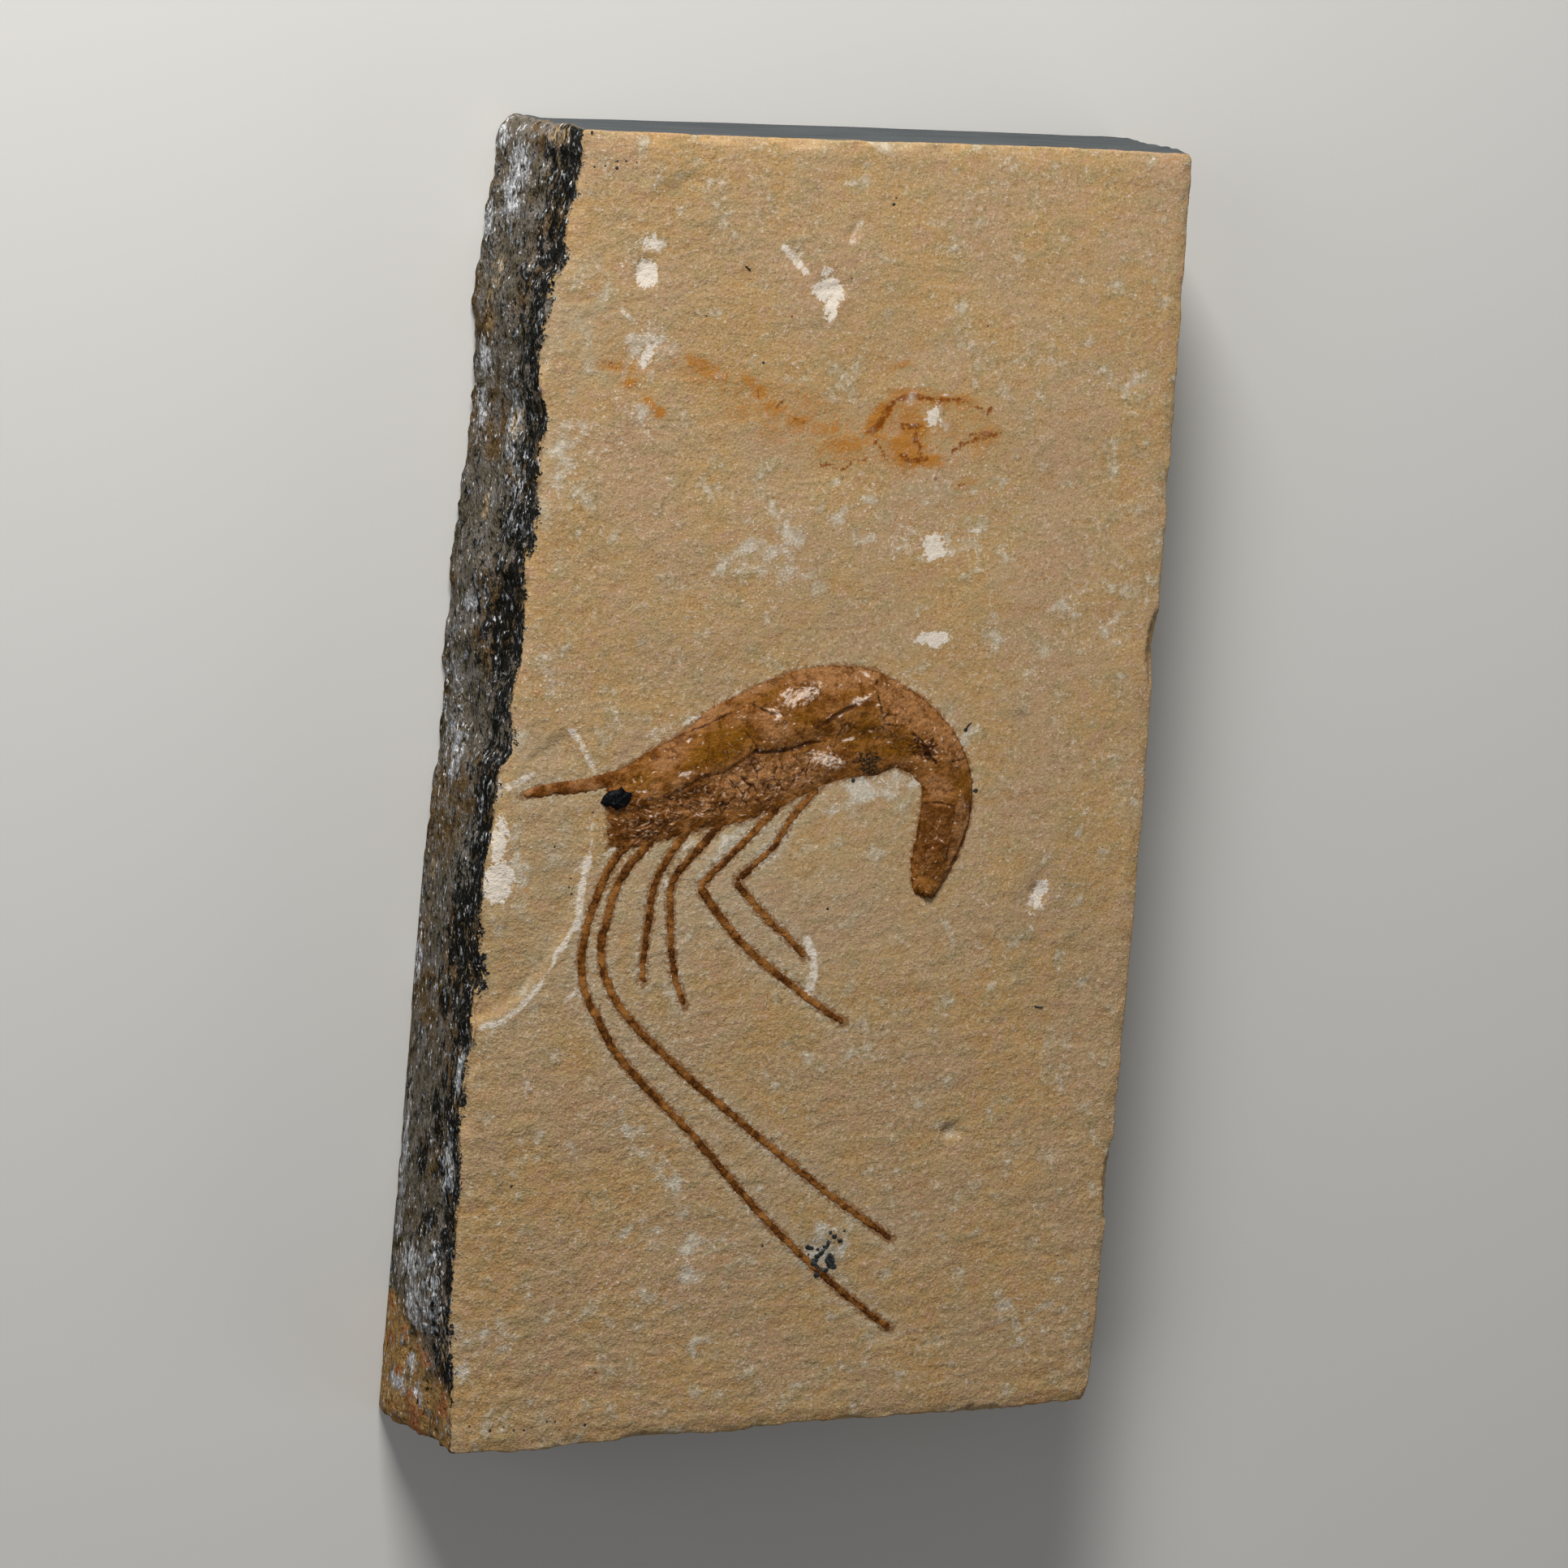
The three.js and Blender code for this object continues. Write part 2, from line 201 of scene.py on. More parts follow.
def makePiece(name, points, quads, fields, triangles):
    # A mesh object at the origin from points in mm. Its fields, of one or three numbers per vertex,
    # become attributes.
    points = clipToFrame(points)
    faces = [tuple(q) for part in (quads, triangles) for q in np.asarray(part).tolist()]
    mesh = bpy.data.meshes.new(name)
    mesh.from_pydata((points * millimetre).tolist(), [], faces)
    for label, values in dict(fields, clouds=cloudFields(points)).items():
        values = np.array(values, np.float32).T
        kind, slot = ("FLOAT", "value") if values.ndim == 1 else ("FLOAT_VECTOR", "vector")
        mesh.attributes.new(label, kind, "POINT").data.foreach_set(slot, values.ravel())
    mesh.polygons.foreach_set("use_smooth", np.ones(len(mesh.polygons), bool))
    mesh.update()
    mesh.validate()
    piece = bpy.data.objects.new(name, mesh)
    bpy.context.scene.collection.objects.link(piece)
    return piece


def gridQuads(rows, columns, closed=False):
    # Quads of a grid of vertices numbered row by row; closed joins the last column to the first.
    r, c = np.meshgrid(np.arange(rows - 1), np.arange(columns - (not closed)), indexing="ij")
    here, right = r * columns + c, r * columns + (c + 1) % columns
    return np.stack([here, right, right + columns, here + columns], axis=-1).reshape(-1, 4)


def finishPiece(piece, node, material):
    # A material, the body that the piece rides on, and the imported part that it hides.
    piece.data.materials.append(material)
    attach(piece, "root")
    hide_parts(node)


fossil = {  # outlines and middle lines, seen from above
    "back": [(-21.5, .3), (-19.6, 1.2), (-17.9, 2.4), (-16.1, 3.5), (-14.3, 4.7), (-12.4, 6.6), (-10.1, 7.9),
        (-7.7, 9.2), (-5.1, 10.4), (-2.1, 11.2), (.9, 11.5), (3.7, 11.2), (6.4, 10.1), (8.9, 8.8),
        (11.1, 7.1), (12.9, 5.1), (14.1, 2.9), (14.7, .4), (14.7, -2.1), (14.2, -4.6), (13.3, -6.9),
        (12.3, -8.7), (11.8, -9.6)],
    "belly": [(-21, -6.6), (-19.1, -6.6), (-17.1, -6.2), (-15.1, -5.6), (-12.9, -4.9), (-10.7, -4.4),
        (-8.9, -3.9), (-7.1, -3.4), (-5.1, -2.5), (-3.1, -1.4), (-1.1, -.3), (.9, .6), (2.9, 1.1), (4.7, 1.3),
        (6.3, 2.1), (7.7, 1.8), (8.7, 1.2), (9.4, .3), (9.4, -1.6), (9.2, -4.1), (9, -6.6), (9.3, -8.6),
        (9.8, -9.5)],
    "rostrum": [(-20.5, -.2), (-24, -1.1), (-26.6, -1.5), (-29.3, -2.15)],
    "leftAntenna": [(-18.5, -5.6), (-20.4, -8.1), (-21.6, -11.5), (-22.4, -15.3), (-22.1, -19),
        (-20.4, -22.2), (-17.6, -26.1), (-10.1, -32.8), (-2.6, -40.1), (4.9, -46.3), (11.3, -50.7)],
    "rightAntenna": [(-16.6, -5.6), (-19.2, -9), (-20.3, -12.8), (-20.6, -16.4), (-19.3, -19.7),
        (-17.3, -22.2), (-12.1, -26.6), (-6.1, -31), (2.9, -37.3), (10.6, -42.1)],
    "firstLeg": [(-12.4, -3.2), (-14.3, -6.1), (-15.9, -9.3), (-16.3, -13), (-16.5, -17.2), (-16.3, -18.8)],
    "secondLeg": [(-9.6, -3.2), (-12.6, -6.9), (-14.3, -9.4), (-14.2, -13), (-13.5, -17.4), (-12.2, -20.7)],
    "thirdThigh": [(-4.6, -2), (-7.6, -5.3), (-11.7, -9.7)],
    "thirdShin": [(-11.7, -9.7), (-9.2, -12.6), (-6.3, -15.4), (-2.6, -17.9), (1.1, -20.3), (3.8, -21.8)],
    "fourthThigh": [(-.9, -.1), (-3.2, -2.9), (-4.8, -5.7), (-8.2, -9.1)],
    "fourthShin": [(-8.2, -9.1), (-5.1, -12.1), (-2, -14.5), (-.6, -15.8)],
}
limbNames = [name for name in fossil if name not in ("back", "belly")]
bodyRing = np.array(fossil["back"] + fossil["belly"][::-1], float)


def waves(place, height, lengths, octaves, seed, layer=0):
    # Layered noise over x and y, and over z if it is given: height * noise(place / lengths).
    parts = [a / length for a, length in zip(place, lengths)]
    return height * layered(*(parts + [layer])[:3], octaves, seed)


face = {
    # waves: height, lengths across and along, octaves, seed and layer
    "swell": (.17, (15, 10), 2, 3, .4), "ripple": (.05, (7.5, 1.7), 2, 11),
    "grain": (.036, (1.3, 1.0), 2, 17), "scraped": (.8, (1, 1), 1, 5, 1), "dipped": (.6, (.8, .8), 1, 6, 2),
    "scarEdge": (.22, (1.1, 1.1), 3, 23), "scarFloor": (.09, (4.5, 2.6), 3, 31),
    "hollowEdge": (.3, (.9, .9), 2, 41, 4), "hollowFloor": (.25, (.6, .6), 1, 43),
    "rimWear": (.7, (3, 3), 2, 47),
    "slant": .25,  # how far the ripples lean
    "lower": (-25, 25), "leftward": (-5, 20),  # the face gets rougher between these, down and to the left
    "ripplesGrow": (.45, 1.2), "grainGrows": (.9, .6),  # by this much
    "seat": (1.0, 7.0), "ripplesCalm": (.35, 1),  # it levels out between these distances round the fossil
    "scrape": .03, "scrapeBand": (-1.3, -.5, -.1, .2),  # depth, and where it starts and ends inside the body
    "dip": .05, "dipBand": (.5, 1.5),  # depth, and where it ends beside the limbs
    "floorBand": (.1, .5), "wallBand": (-.05, .55),  # where a scar is deep enough to be rough, and its wall
    "rim": (1.7, .34, 2.2),  # width, depth and curve of the worn rim
    "scars": [  # lost flakes: outline, the line y where the floor is level with the face, and its slope
        {"from": -2.6, "slope": .02, "outline": [(-38, -24.5), (-31, -22.7), (-27.8, -20.5), (-25.2, -16.8),
            (-23.5, -13.6), (-22.8, -10.4), (-22.5, -6), (-23.1, -3.6), (-26, -3.3), (-31, -3.6), (-38, -5)]},
        {"from": 0, "slope": .09, "outline": [(-38, .2), (-31, .6), (-28, 2.2), (-26.2, 3.7), (-25.1, 3.4),
            (-24.0, 1.7), (-23.6, .7), (-27, .3), (-31, .1)]}],
    "hollows": [  # spalls and edge chips: x, y, half width, half height, turn, depth
        (22.2, -9, .9, 1.5, -12, .3), (15.7, -31.8, 1.1, .8, 0, .6), (-4.2, 45.3, 1.6, 1.8, 20, .3),
        (-7.6, 47.9, .8, 1.6, 35, .25), (-21.9, 45.5, 1.1, 1.4, 0, .3), (-2.2, 51, .5, 1.2, -25, .2),
        (-31.6, 37, 1.3, 3.4, 0, .5), (-31.2, 20, 1, 2.4, 0, .6), (-33, -31, 1.4, 2.4, 0, .4),
        (-32.6, -53, 1.4, 3.4, 0, .4), (33.4, -57.9, 1.8, 1.6, 0, .5), (32.2, 15, 1, 3, 0, .9),
        (33.2, -36, 1.1, 4, 0, 1), (-16.5, 58.4, 3, 1.2, 0, .5), (-8.5, 58.9, 3.4, 1.3, 0, .6),
        (.5, 59.6, 3.2, 1.1, 0, .45), (-12, -62, 3, 1.4, 0, 1.3), (8, -60.4, 2.4, 1.3, 0, 1.1),
        (22, -59.4, 3.2, 1.2, 0, 1)],
}

block = {
    "cells": (172, 330),  # face mesh across and along
    "wallRows": 28, "baseRings": 8,
    "size": (62.0, 119.0),
    "faceOutline": {
        "left": [(-31, -62.85), (-31.4, -58.2), (-31.6, -53.4), (-32.1, -50.6), (-32.2, -47.8),
            (-32.1, -43.3), (-32.1, -39.5), (-32.5, -33.4), (-32.5, -28.1), (-32.1, -25.8), (-32, -23.3),
            (-31.8, -20.3), (-31.2, -18.7), (-31.9, -15.8), (-32.3, -10.7), (-32.4, -7.3), (-32.1, -6.1),
            (-31.8, -2.8), (-31.6, 0), (-30.8, 1.8), (-31.2, 6.2), (-30.8, 9.2), (-30.6, 10.7), (-30.7, 15.2),
            (-30.5, 19.6), (-30.2, 24), (-30.3, 26.2), (-30.3, 29.4), (-30.1, 31.4), (-30.9, 33.8),
            (-31.2, 36.4), (-30.8, 40.5), (-30.5, 43.7), (-29.8, 44.9), (-29.8, 48.5), (-29, 53.2),
            (-29, 57.1)],
        "right": [(32.5, -57.7), (32.9, -45), (32.7, -20), (32.3, 7), (31.8, 30), (31.35, 47), (31.0, 61.2)],
        "bottom": [(-31.0, -62.85), (-21.8, -62.1), (-2.4, -60.4), (17.5, -58.9), (32.5, -57.7)],
        "top": [(-29.0, 57.1), (-7.4, 58.6), (16.8, 60.4), (31.0, 61.2)]},
    "baseOutline": {
        "left": [(-32.2, -63.4), (-32.85, -59), (-32.6, -45), (-32.7, -14), (-31.9, 3), (-32.1, 20),
            (-31.6, 32), (-31.8, 44), (-31.5, 51), (-31.1, 56), (-30.2, 58.7)],
        "right": [(32.1, -58.9), (32.5, -30), (32.0, 10), (31.7, 40), (31.5, 63.4)],
        "bottom": [(-32.2, -63.6), (-5, -61.5), (15, -60.3), (32.1, -58.9)],
        "top": [(-30.2, 58.7), (-.5, 61.1), (31.5, 63.4)]},
    # corner radius at the face and at the underside, by corner (0 or 1 across, 0 or 1 along)
    "corners": {(0, 0): (.8, 1.5), (1, 0): (.3, .6), (0, 1): (.5, .45), (1, 1): (.6, .6)},
    "cornerReach": .9, "faceReach": 1.4,  # how far a side's wear runs on round a corner and over the face
    "rimRound": (.14, .8), "baseRound": (.64, .8),  # inset and height of the rounded edges
    "rimHold": (.55, 2.2),  # the wear is less by this share towards the face, from this far below it
    "crustLevel": -.3, "crustRange": (-1.6, 1.2), "bottomShare": .85,  # how far in the weathered sides lie
    "brokenLevel": -.52, "brokenShare": .7, "sawnLevel": .05, "sawnLean": (.2, 6, 17),
    "shelf": (2.3, .16, .1, .34),  # height of the bedding steps, their depth and where they round over
    "ledgeEdge": .5,
    # waves of the sides: height, lengths across, along and up, octaves and seed
    "crustLumps": (.28, (6, 8, 3.6), 3, 53), "crustGravel": (.3, (1.2, 1.7, 1.0), 3, 59),
    "brokenLumps": (.4, (5, 6, 2.6), 3, 67), "brokenGravel": (.24, (1.6, 2.0, 1.2), 3, 68),
    "shelfBend": (.8, (9, 9), 1, 71), "sawLines": (.02, (9, 1, .35), 1, 73),
    "sawSwell": (.03, (12, 1, 6), 2, 74), "basePits": (.22, (3, 3), 3, 79),
    "dents": [  # hollows of the weathered side: y, reach, depth
        (58, 2.4, .6), (17.5, 2.2, .4), (11.3, 4.0, .4), (41.5, 3.0, .4), (-12.5, 4.0, .5), (-17, 3, .5),
        (-21, 3, .5), (-30, 3.0, .3)],
    "ledges": [(5.3, .4, 61), (11.2, .4, 62)],  # height, depth and seed
    "baseHole": .03, "baseCrowding": .8,  # size of the underside's last ring, and how its rings crowd
    "pits": (.03, .5),  # least and most depth of the underside's pits
    "wallFade": 3.2, "otherWalls": (9, 2, 5), "runRange": (-18, 12),  # how distances from a rim run on
    "rimBand": 2.2, "sideBand": 29.5,  # the sides' finish starts this near the rim and this far across
}


def fromLimbs(x, y):
    # Distance to the nearest limb.
    return np.min([fromLine(x, y, smoothLine(fossil[name], 4)) for name in limbNames], axis=0)


def faceHeight(x, y, toEdge=None):
    # Height above the split plane. Broad swells, cross ripples and grain, flat near the fossil, less
    # the scraped line round the body, the dip by the limbs, the scars, the hollows and the worn rim.
    place, inBody, limbs = (x, y), inOutline(x, y, bodyRing), fromLimbs(x, y)
    away = fade(np.minimum(-inBody, limbs), *face["seat"])
    lower, leftward = fade(-y, *face["lower"]), fade(-x, *face["leftward"])
    height = waves(place, *face["swell"]) * away
    ripples = waves((x + face["slant"] * y, y), *face["ripple"])
    height += between(*face["ripplesGrow"], lower) * ripples * between(*face["ripplesCalm"], away)
    downMore, leftMore = face["grainGrows"]
    height += (1 + downMore * lower + leftMore * leftward) * waves(place, *face["grain"])
    outer, inner = face["scrapeBand"][:2], face["scrapeBand"][2:]
    beside = fade(inBody, *outer) * (1 - fade(inBody, *inner))
    height -= face["scrape"] * beside * (1 + waves(place, *face["scraped"]))
    height -= face["dip"] * (1 - fade(limbs, *face["dipBand"])) * (1 + waves(place, *face["dipped"]))
    for scar in face["scars"]:
        outline = smoothLine(scar["outline"] + scar["outline"][:1], 5)[:-1]
        inside = inOutline(x, y, outline) + waves(place, *face["scarEdge"])
        depth = scar["slope"] * np.abs(y - scar["from"])
        depth = depth + waves(place, *face["scarFloor"]) * fade(depth, *face["floorBand"])
        height -= depth * fade(inside, *face["wallBand"])
    for *spot, depth in face["hollows"]:
        inside = inSpot(x, y, spot) / min(spot[2:4]) + waves(place, *face["hollowEdge"])
        height -= depth * np.sqrt(np.clip(inside, 0, 1)) * (1 + waves(place, *face["hollowFloor"]))
    if toEdge is not None:
        width, drop, curve = face["rim"]
        worn = 1 - np.clip(toEdge / width, 0, 1)
        height -= drop * worn ** curve * (.8 + waves(place, *face["rimWear"]))
    return height


def coons(edges, u, v):
    # The two pairs of opposite edges blended, less the flat patch through the four corners.
    left, right = along(edges["left"], v), along(edges["right"], v)
    bottom, top = along(edges["bottom"], u), along(edges["top"], u)
    u, v = u[..., None], v[..., None]
    corner = [np.asarray(edges[k][n], float) for k in ("bottom", "top") for n in (0, -1)]
    flat = (corner[0] * (1 - u) + corner[1] * u) * (1 - v) + (corner[2] * (1 - u) + corner[3] * u) * v
    return left * (1 - u) + right * u + bottom * (1 - v) + top * v - flat


def roundCorners(u, v, level):
    # Near a corner, L-shaped mesh lines become arcs: a point whose larger offset from the arc's
    # centre is m moves in until its distance from the centre is m.
    width, length = block["size"]
    for (cu, cv), (atFace, atBase) in block["corners"].items():
        r = atBase + (atFace - atBase) * level
        px = 1 - np.abs(u - cu) * width / r
        py = 1 - np.abs(v - cv) * length / r
        inside = (px > 0) & (py > 0)
        pull = np.where(inside, np.maximum(px, py) / np.maximum(np.hypot(px, py), 1e-9), 1)
        u = np.where(inside, np.abs(cu - r * (1 - px * pull) / width), u)
        v = np.where(inside, np.abs(cv - r * (1 - py * pull) / length), v)
    return u, v


def blockPlan(u, v, level):
    # Where a mesh point lies seen from above: between the underside's outline and the face's.
    u, v = roundCorners(u, v, level)
    return coons(block["baseOutline"], u, v) * (1 - level) + coons(block["faceOutline"], u, v) * level


def crowd(t):
    # Mesh lines gather towards both ends.
    return t + (.5 - .5 * np.cos(np.pi * t) - t) * crowding


def fromSides(u, v):
    # Distances in from the left, right, bottom and top sides.
    width, length = block["size"]
    return np.stack([u * width, (1 - u) * width, v * length, (1 - v) * length])


def sideShares(u, v):
    # How much a mesh point belongs to each side; the four add up to one.
    weight = np.exp(-fromSides(u, v) / block["cornerReach"])
    return weight / weight.sum(0)


def sideWear(x, y, z, shares):
    # How far the sides are worn in: weathered crust with dents and ledges along the left and bottom,
    # bedding steps on the broken right, and a sawn top with faint saw lines.
    place = (x, y, z)
    crust = block["crustLevel"] + waves(place, *block["crustLumps"]) + waves(place, *block["crustGravel"])
    for middle, reach, depth in block["dents"]:
        crust = crust - depth * np.exp(-((y - middle) / reach) ** 2)
    crust = np.clip(crust, *block["crustRange"])
    for height, depth, seed in block["ledges"]:
        edge = height + waves((x, y), 1.5, (8, 11), 1, seed, 2.5)
        there = fade(waves((x, y), 1, (9, 12), 1, seed, 7.5), -.25, .2)
        crust = crust + depth * fade(z, edge - block["ledgeEdge"], edge + block["ledgeEdge"]) * there
    broken = waves(place, *block["brokenLumps"]) + waves(place, *block["brokenGravel"])
    high, deep, *roundOver = block["shelf"]
    shelf = (z + waves((x, y), *block["shelfBend"])) / high % 1
    broken = broken + deep * fade(np.abs(shelf - .5), *roundOver)
    broken = block["brokenLevel"] + block["brokenShare"] * broken
    lean, *reach = block["sawnLean"]
    sawn = block["sawnLevel"] - lean * fade(z, *reach)
    sawn = sawn + waves(place, *block["sawLines"]) + waves(place, *block["sawSwell"])
    return sum(shares * (crust, broken, crust * block["bottomShare"], sawn))


def border(number):
    # The numbers round the border of a grid, once round.
    return np.concatenate([number[0, :], number[1:, -1], number[-1, -2::-1], number[-2:0:-1, 0]])


def roundedEdge(away, inset, reach):
    # A quarter circle: the full inset at the edge, nothing once the reach is passed.
    return inset * (1 - np.sqrt(1 - np.clip(1 - away / reach, 0, 1) ** 2))


def makeWall(u, v, levels):
    # The ring of the face's border carried down the sides, pushed inward by their wear.
    plan = np.stack([blockPlan(u, v, level) for level in levels])
    tangent = np.roll(plan, -1, 1) - np.roll(plan, 1, 1)
    inward = np.stack([-tangent[..., 1], tangent[..., 0]], axis=-1)
    inward = sum(np.roll(inward, k, 1) for k in range(-3, 4))
    inward /= np.linalg.norm(inward, axis=-1, keepdims=True)
    height = levels[:, None] * splitPlane * np.ones(len(u))
    hold, band = block["rimHold"]
    wear = sideWear(*np.moveaxis(plan, -1, 0), height, sideShares(u, v)[:, None, :])
    wear = wear * (1 - hold * fade(height, splitPlane - band, splitPlane))
    wear += roundedEdge(splitPlane - height, *block["rimRound"]) + roundedEdge(height, *block["baseRound"])
    push = inward * wear[..., None]
    return plan + push, push[0]


def followRim(u, v, pushed):
    # The face follows the pushed rim near its edges, as a patch of the four edges' own shifts.
    left, right, low, high = np.exp(-(fromSides(u, v) / block["faceReach"]) ** 2)[..., None]
    shift = pushed[:, :1] * left + pushed[:, -1:] * right + pushed[:1] * low + pushed[-1:] * high
    for row, near in ((0, low), (-1, high)):
        shift -= near * (pushed[row, 0] * left + pushed[row, -1] * right)
    return shift


def fromRims(x, y, depth):
    # For each side, the distance in from its rim on the face, and the depth down its wall as a negative.
    # Walls of the other sides count as far in.
    runs, (far, *reach) = {}, block["otherWalls"]
    for side, path in block["faceOutline"].items():
        away = fromLine(x, y, smoothLine(path, 3))
        below = depth * np.exp(-(away / block["wallFade"]) ** 2) - far * fade(away, *reach) * (depth > 0)
        runs[side] = np.clip(away * (depth == 0) - below, *block["runRange"])
    return runs


def makeBlock():
    # The face, the walls below its border and an underside of shrinking rings, all as one closed mesh,
    # with what is known of each point: depth below the face, side, and distances from the rims.
    columns, rows = (count + 1 for count in block["cells"])
    u, v = (crowd(a) for a in np.meshgrid(np.linspace(0, 1, columns), np.linspace(0, 1, rows)))
    ring = border(np.arange(rows * columns).reshape(rows, columns))
    levels = crowd(np.linspace(1, 0, block["wallRows"] + 1))
    wall, push = makeWall(u.ravel()[ring], v.ravel()[ring], levels)
    pushed = np.zeros((rows * columns, 2))
    pushed[ring] = push
    shift = followRim(u, v, pushed.reshape(rows, columns, 2))
    top = blockPlan(u.ravel(), v.ravel(), 1) + shift.reshape(-1, 2)
    x, y = top.T
    toEdge = fromLine(x, y, top[np.append(ring[::6], ring[0])])
    toEdge[ring] = 0
    topZ = splitPlane + faceHeight(x, y, toEdge)

    wallZ = levels[1:, None] * topZ[ring]
    rings = [np.column_stack(both) for both in zip(wall[1:], wallZ)]
    last, (least, most) = wall[-1], block["pits"]
    for k in range(1, block["baseRings"] + 1):
        flat = last * between(1, block["baseHole"], (k / block["baseRings"]) ** block["baseCrowding"])
        pits = np.clip(waves(flat.T, *block["basePits"]) - least, 0, most) * fade(k, 0, 2)
        rings.append(np.column_stack([flat, pits]))
    middle = [[*last.mean(0) * block["baseHole"], 0]]
    points = np.vstack([np.column_stack([top, topZ]), *rings, middle])

    n, count, walls = len(ring), len(top), block["wallRows"] * len(ring)
    hoops = np.vstack([ring[None], count + np.arange(len(rings) * n).reshape(len(rings), n)])
    nextHoops = np.roll(hoops, -1, 1)
    around = np.stack([hoops[:-1], hoops[1:], nextHoops[1:], nextHoops[:-1]], axis=-1).reshape(-1, 4)
    quads = np.vstack([gridQuads(rows, columns), around])
    fan = np.column_stack([hoops[-1], np.full(n, len(points) - 1), nextHoops[-1]])

    depth, under = np.zeros((2, len(points)))
    depth[count:count + walls] = (topZ[ring] - wallZ).ravel()
    depth[count + walls:], under[count + walls:] = splitPlane, 1
    everyUv = (np.concatenate([a, np.tile(a[ring], len(rings)), [.5]]) for a in (u.ravel(), v.ravel()))
    shares = sideShares(*everyUv)
    return points, quads, fan, {"depth": depth, "under": under, "shares": shares,
                                "runs": fromRims(points[:, 0], points[:, 1], depth)}


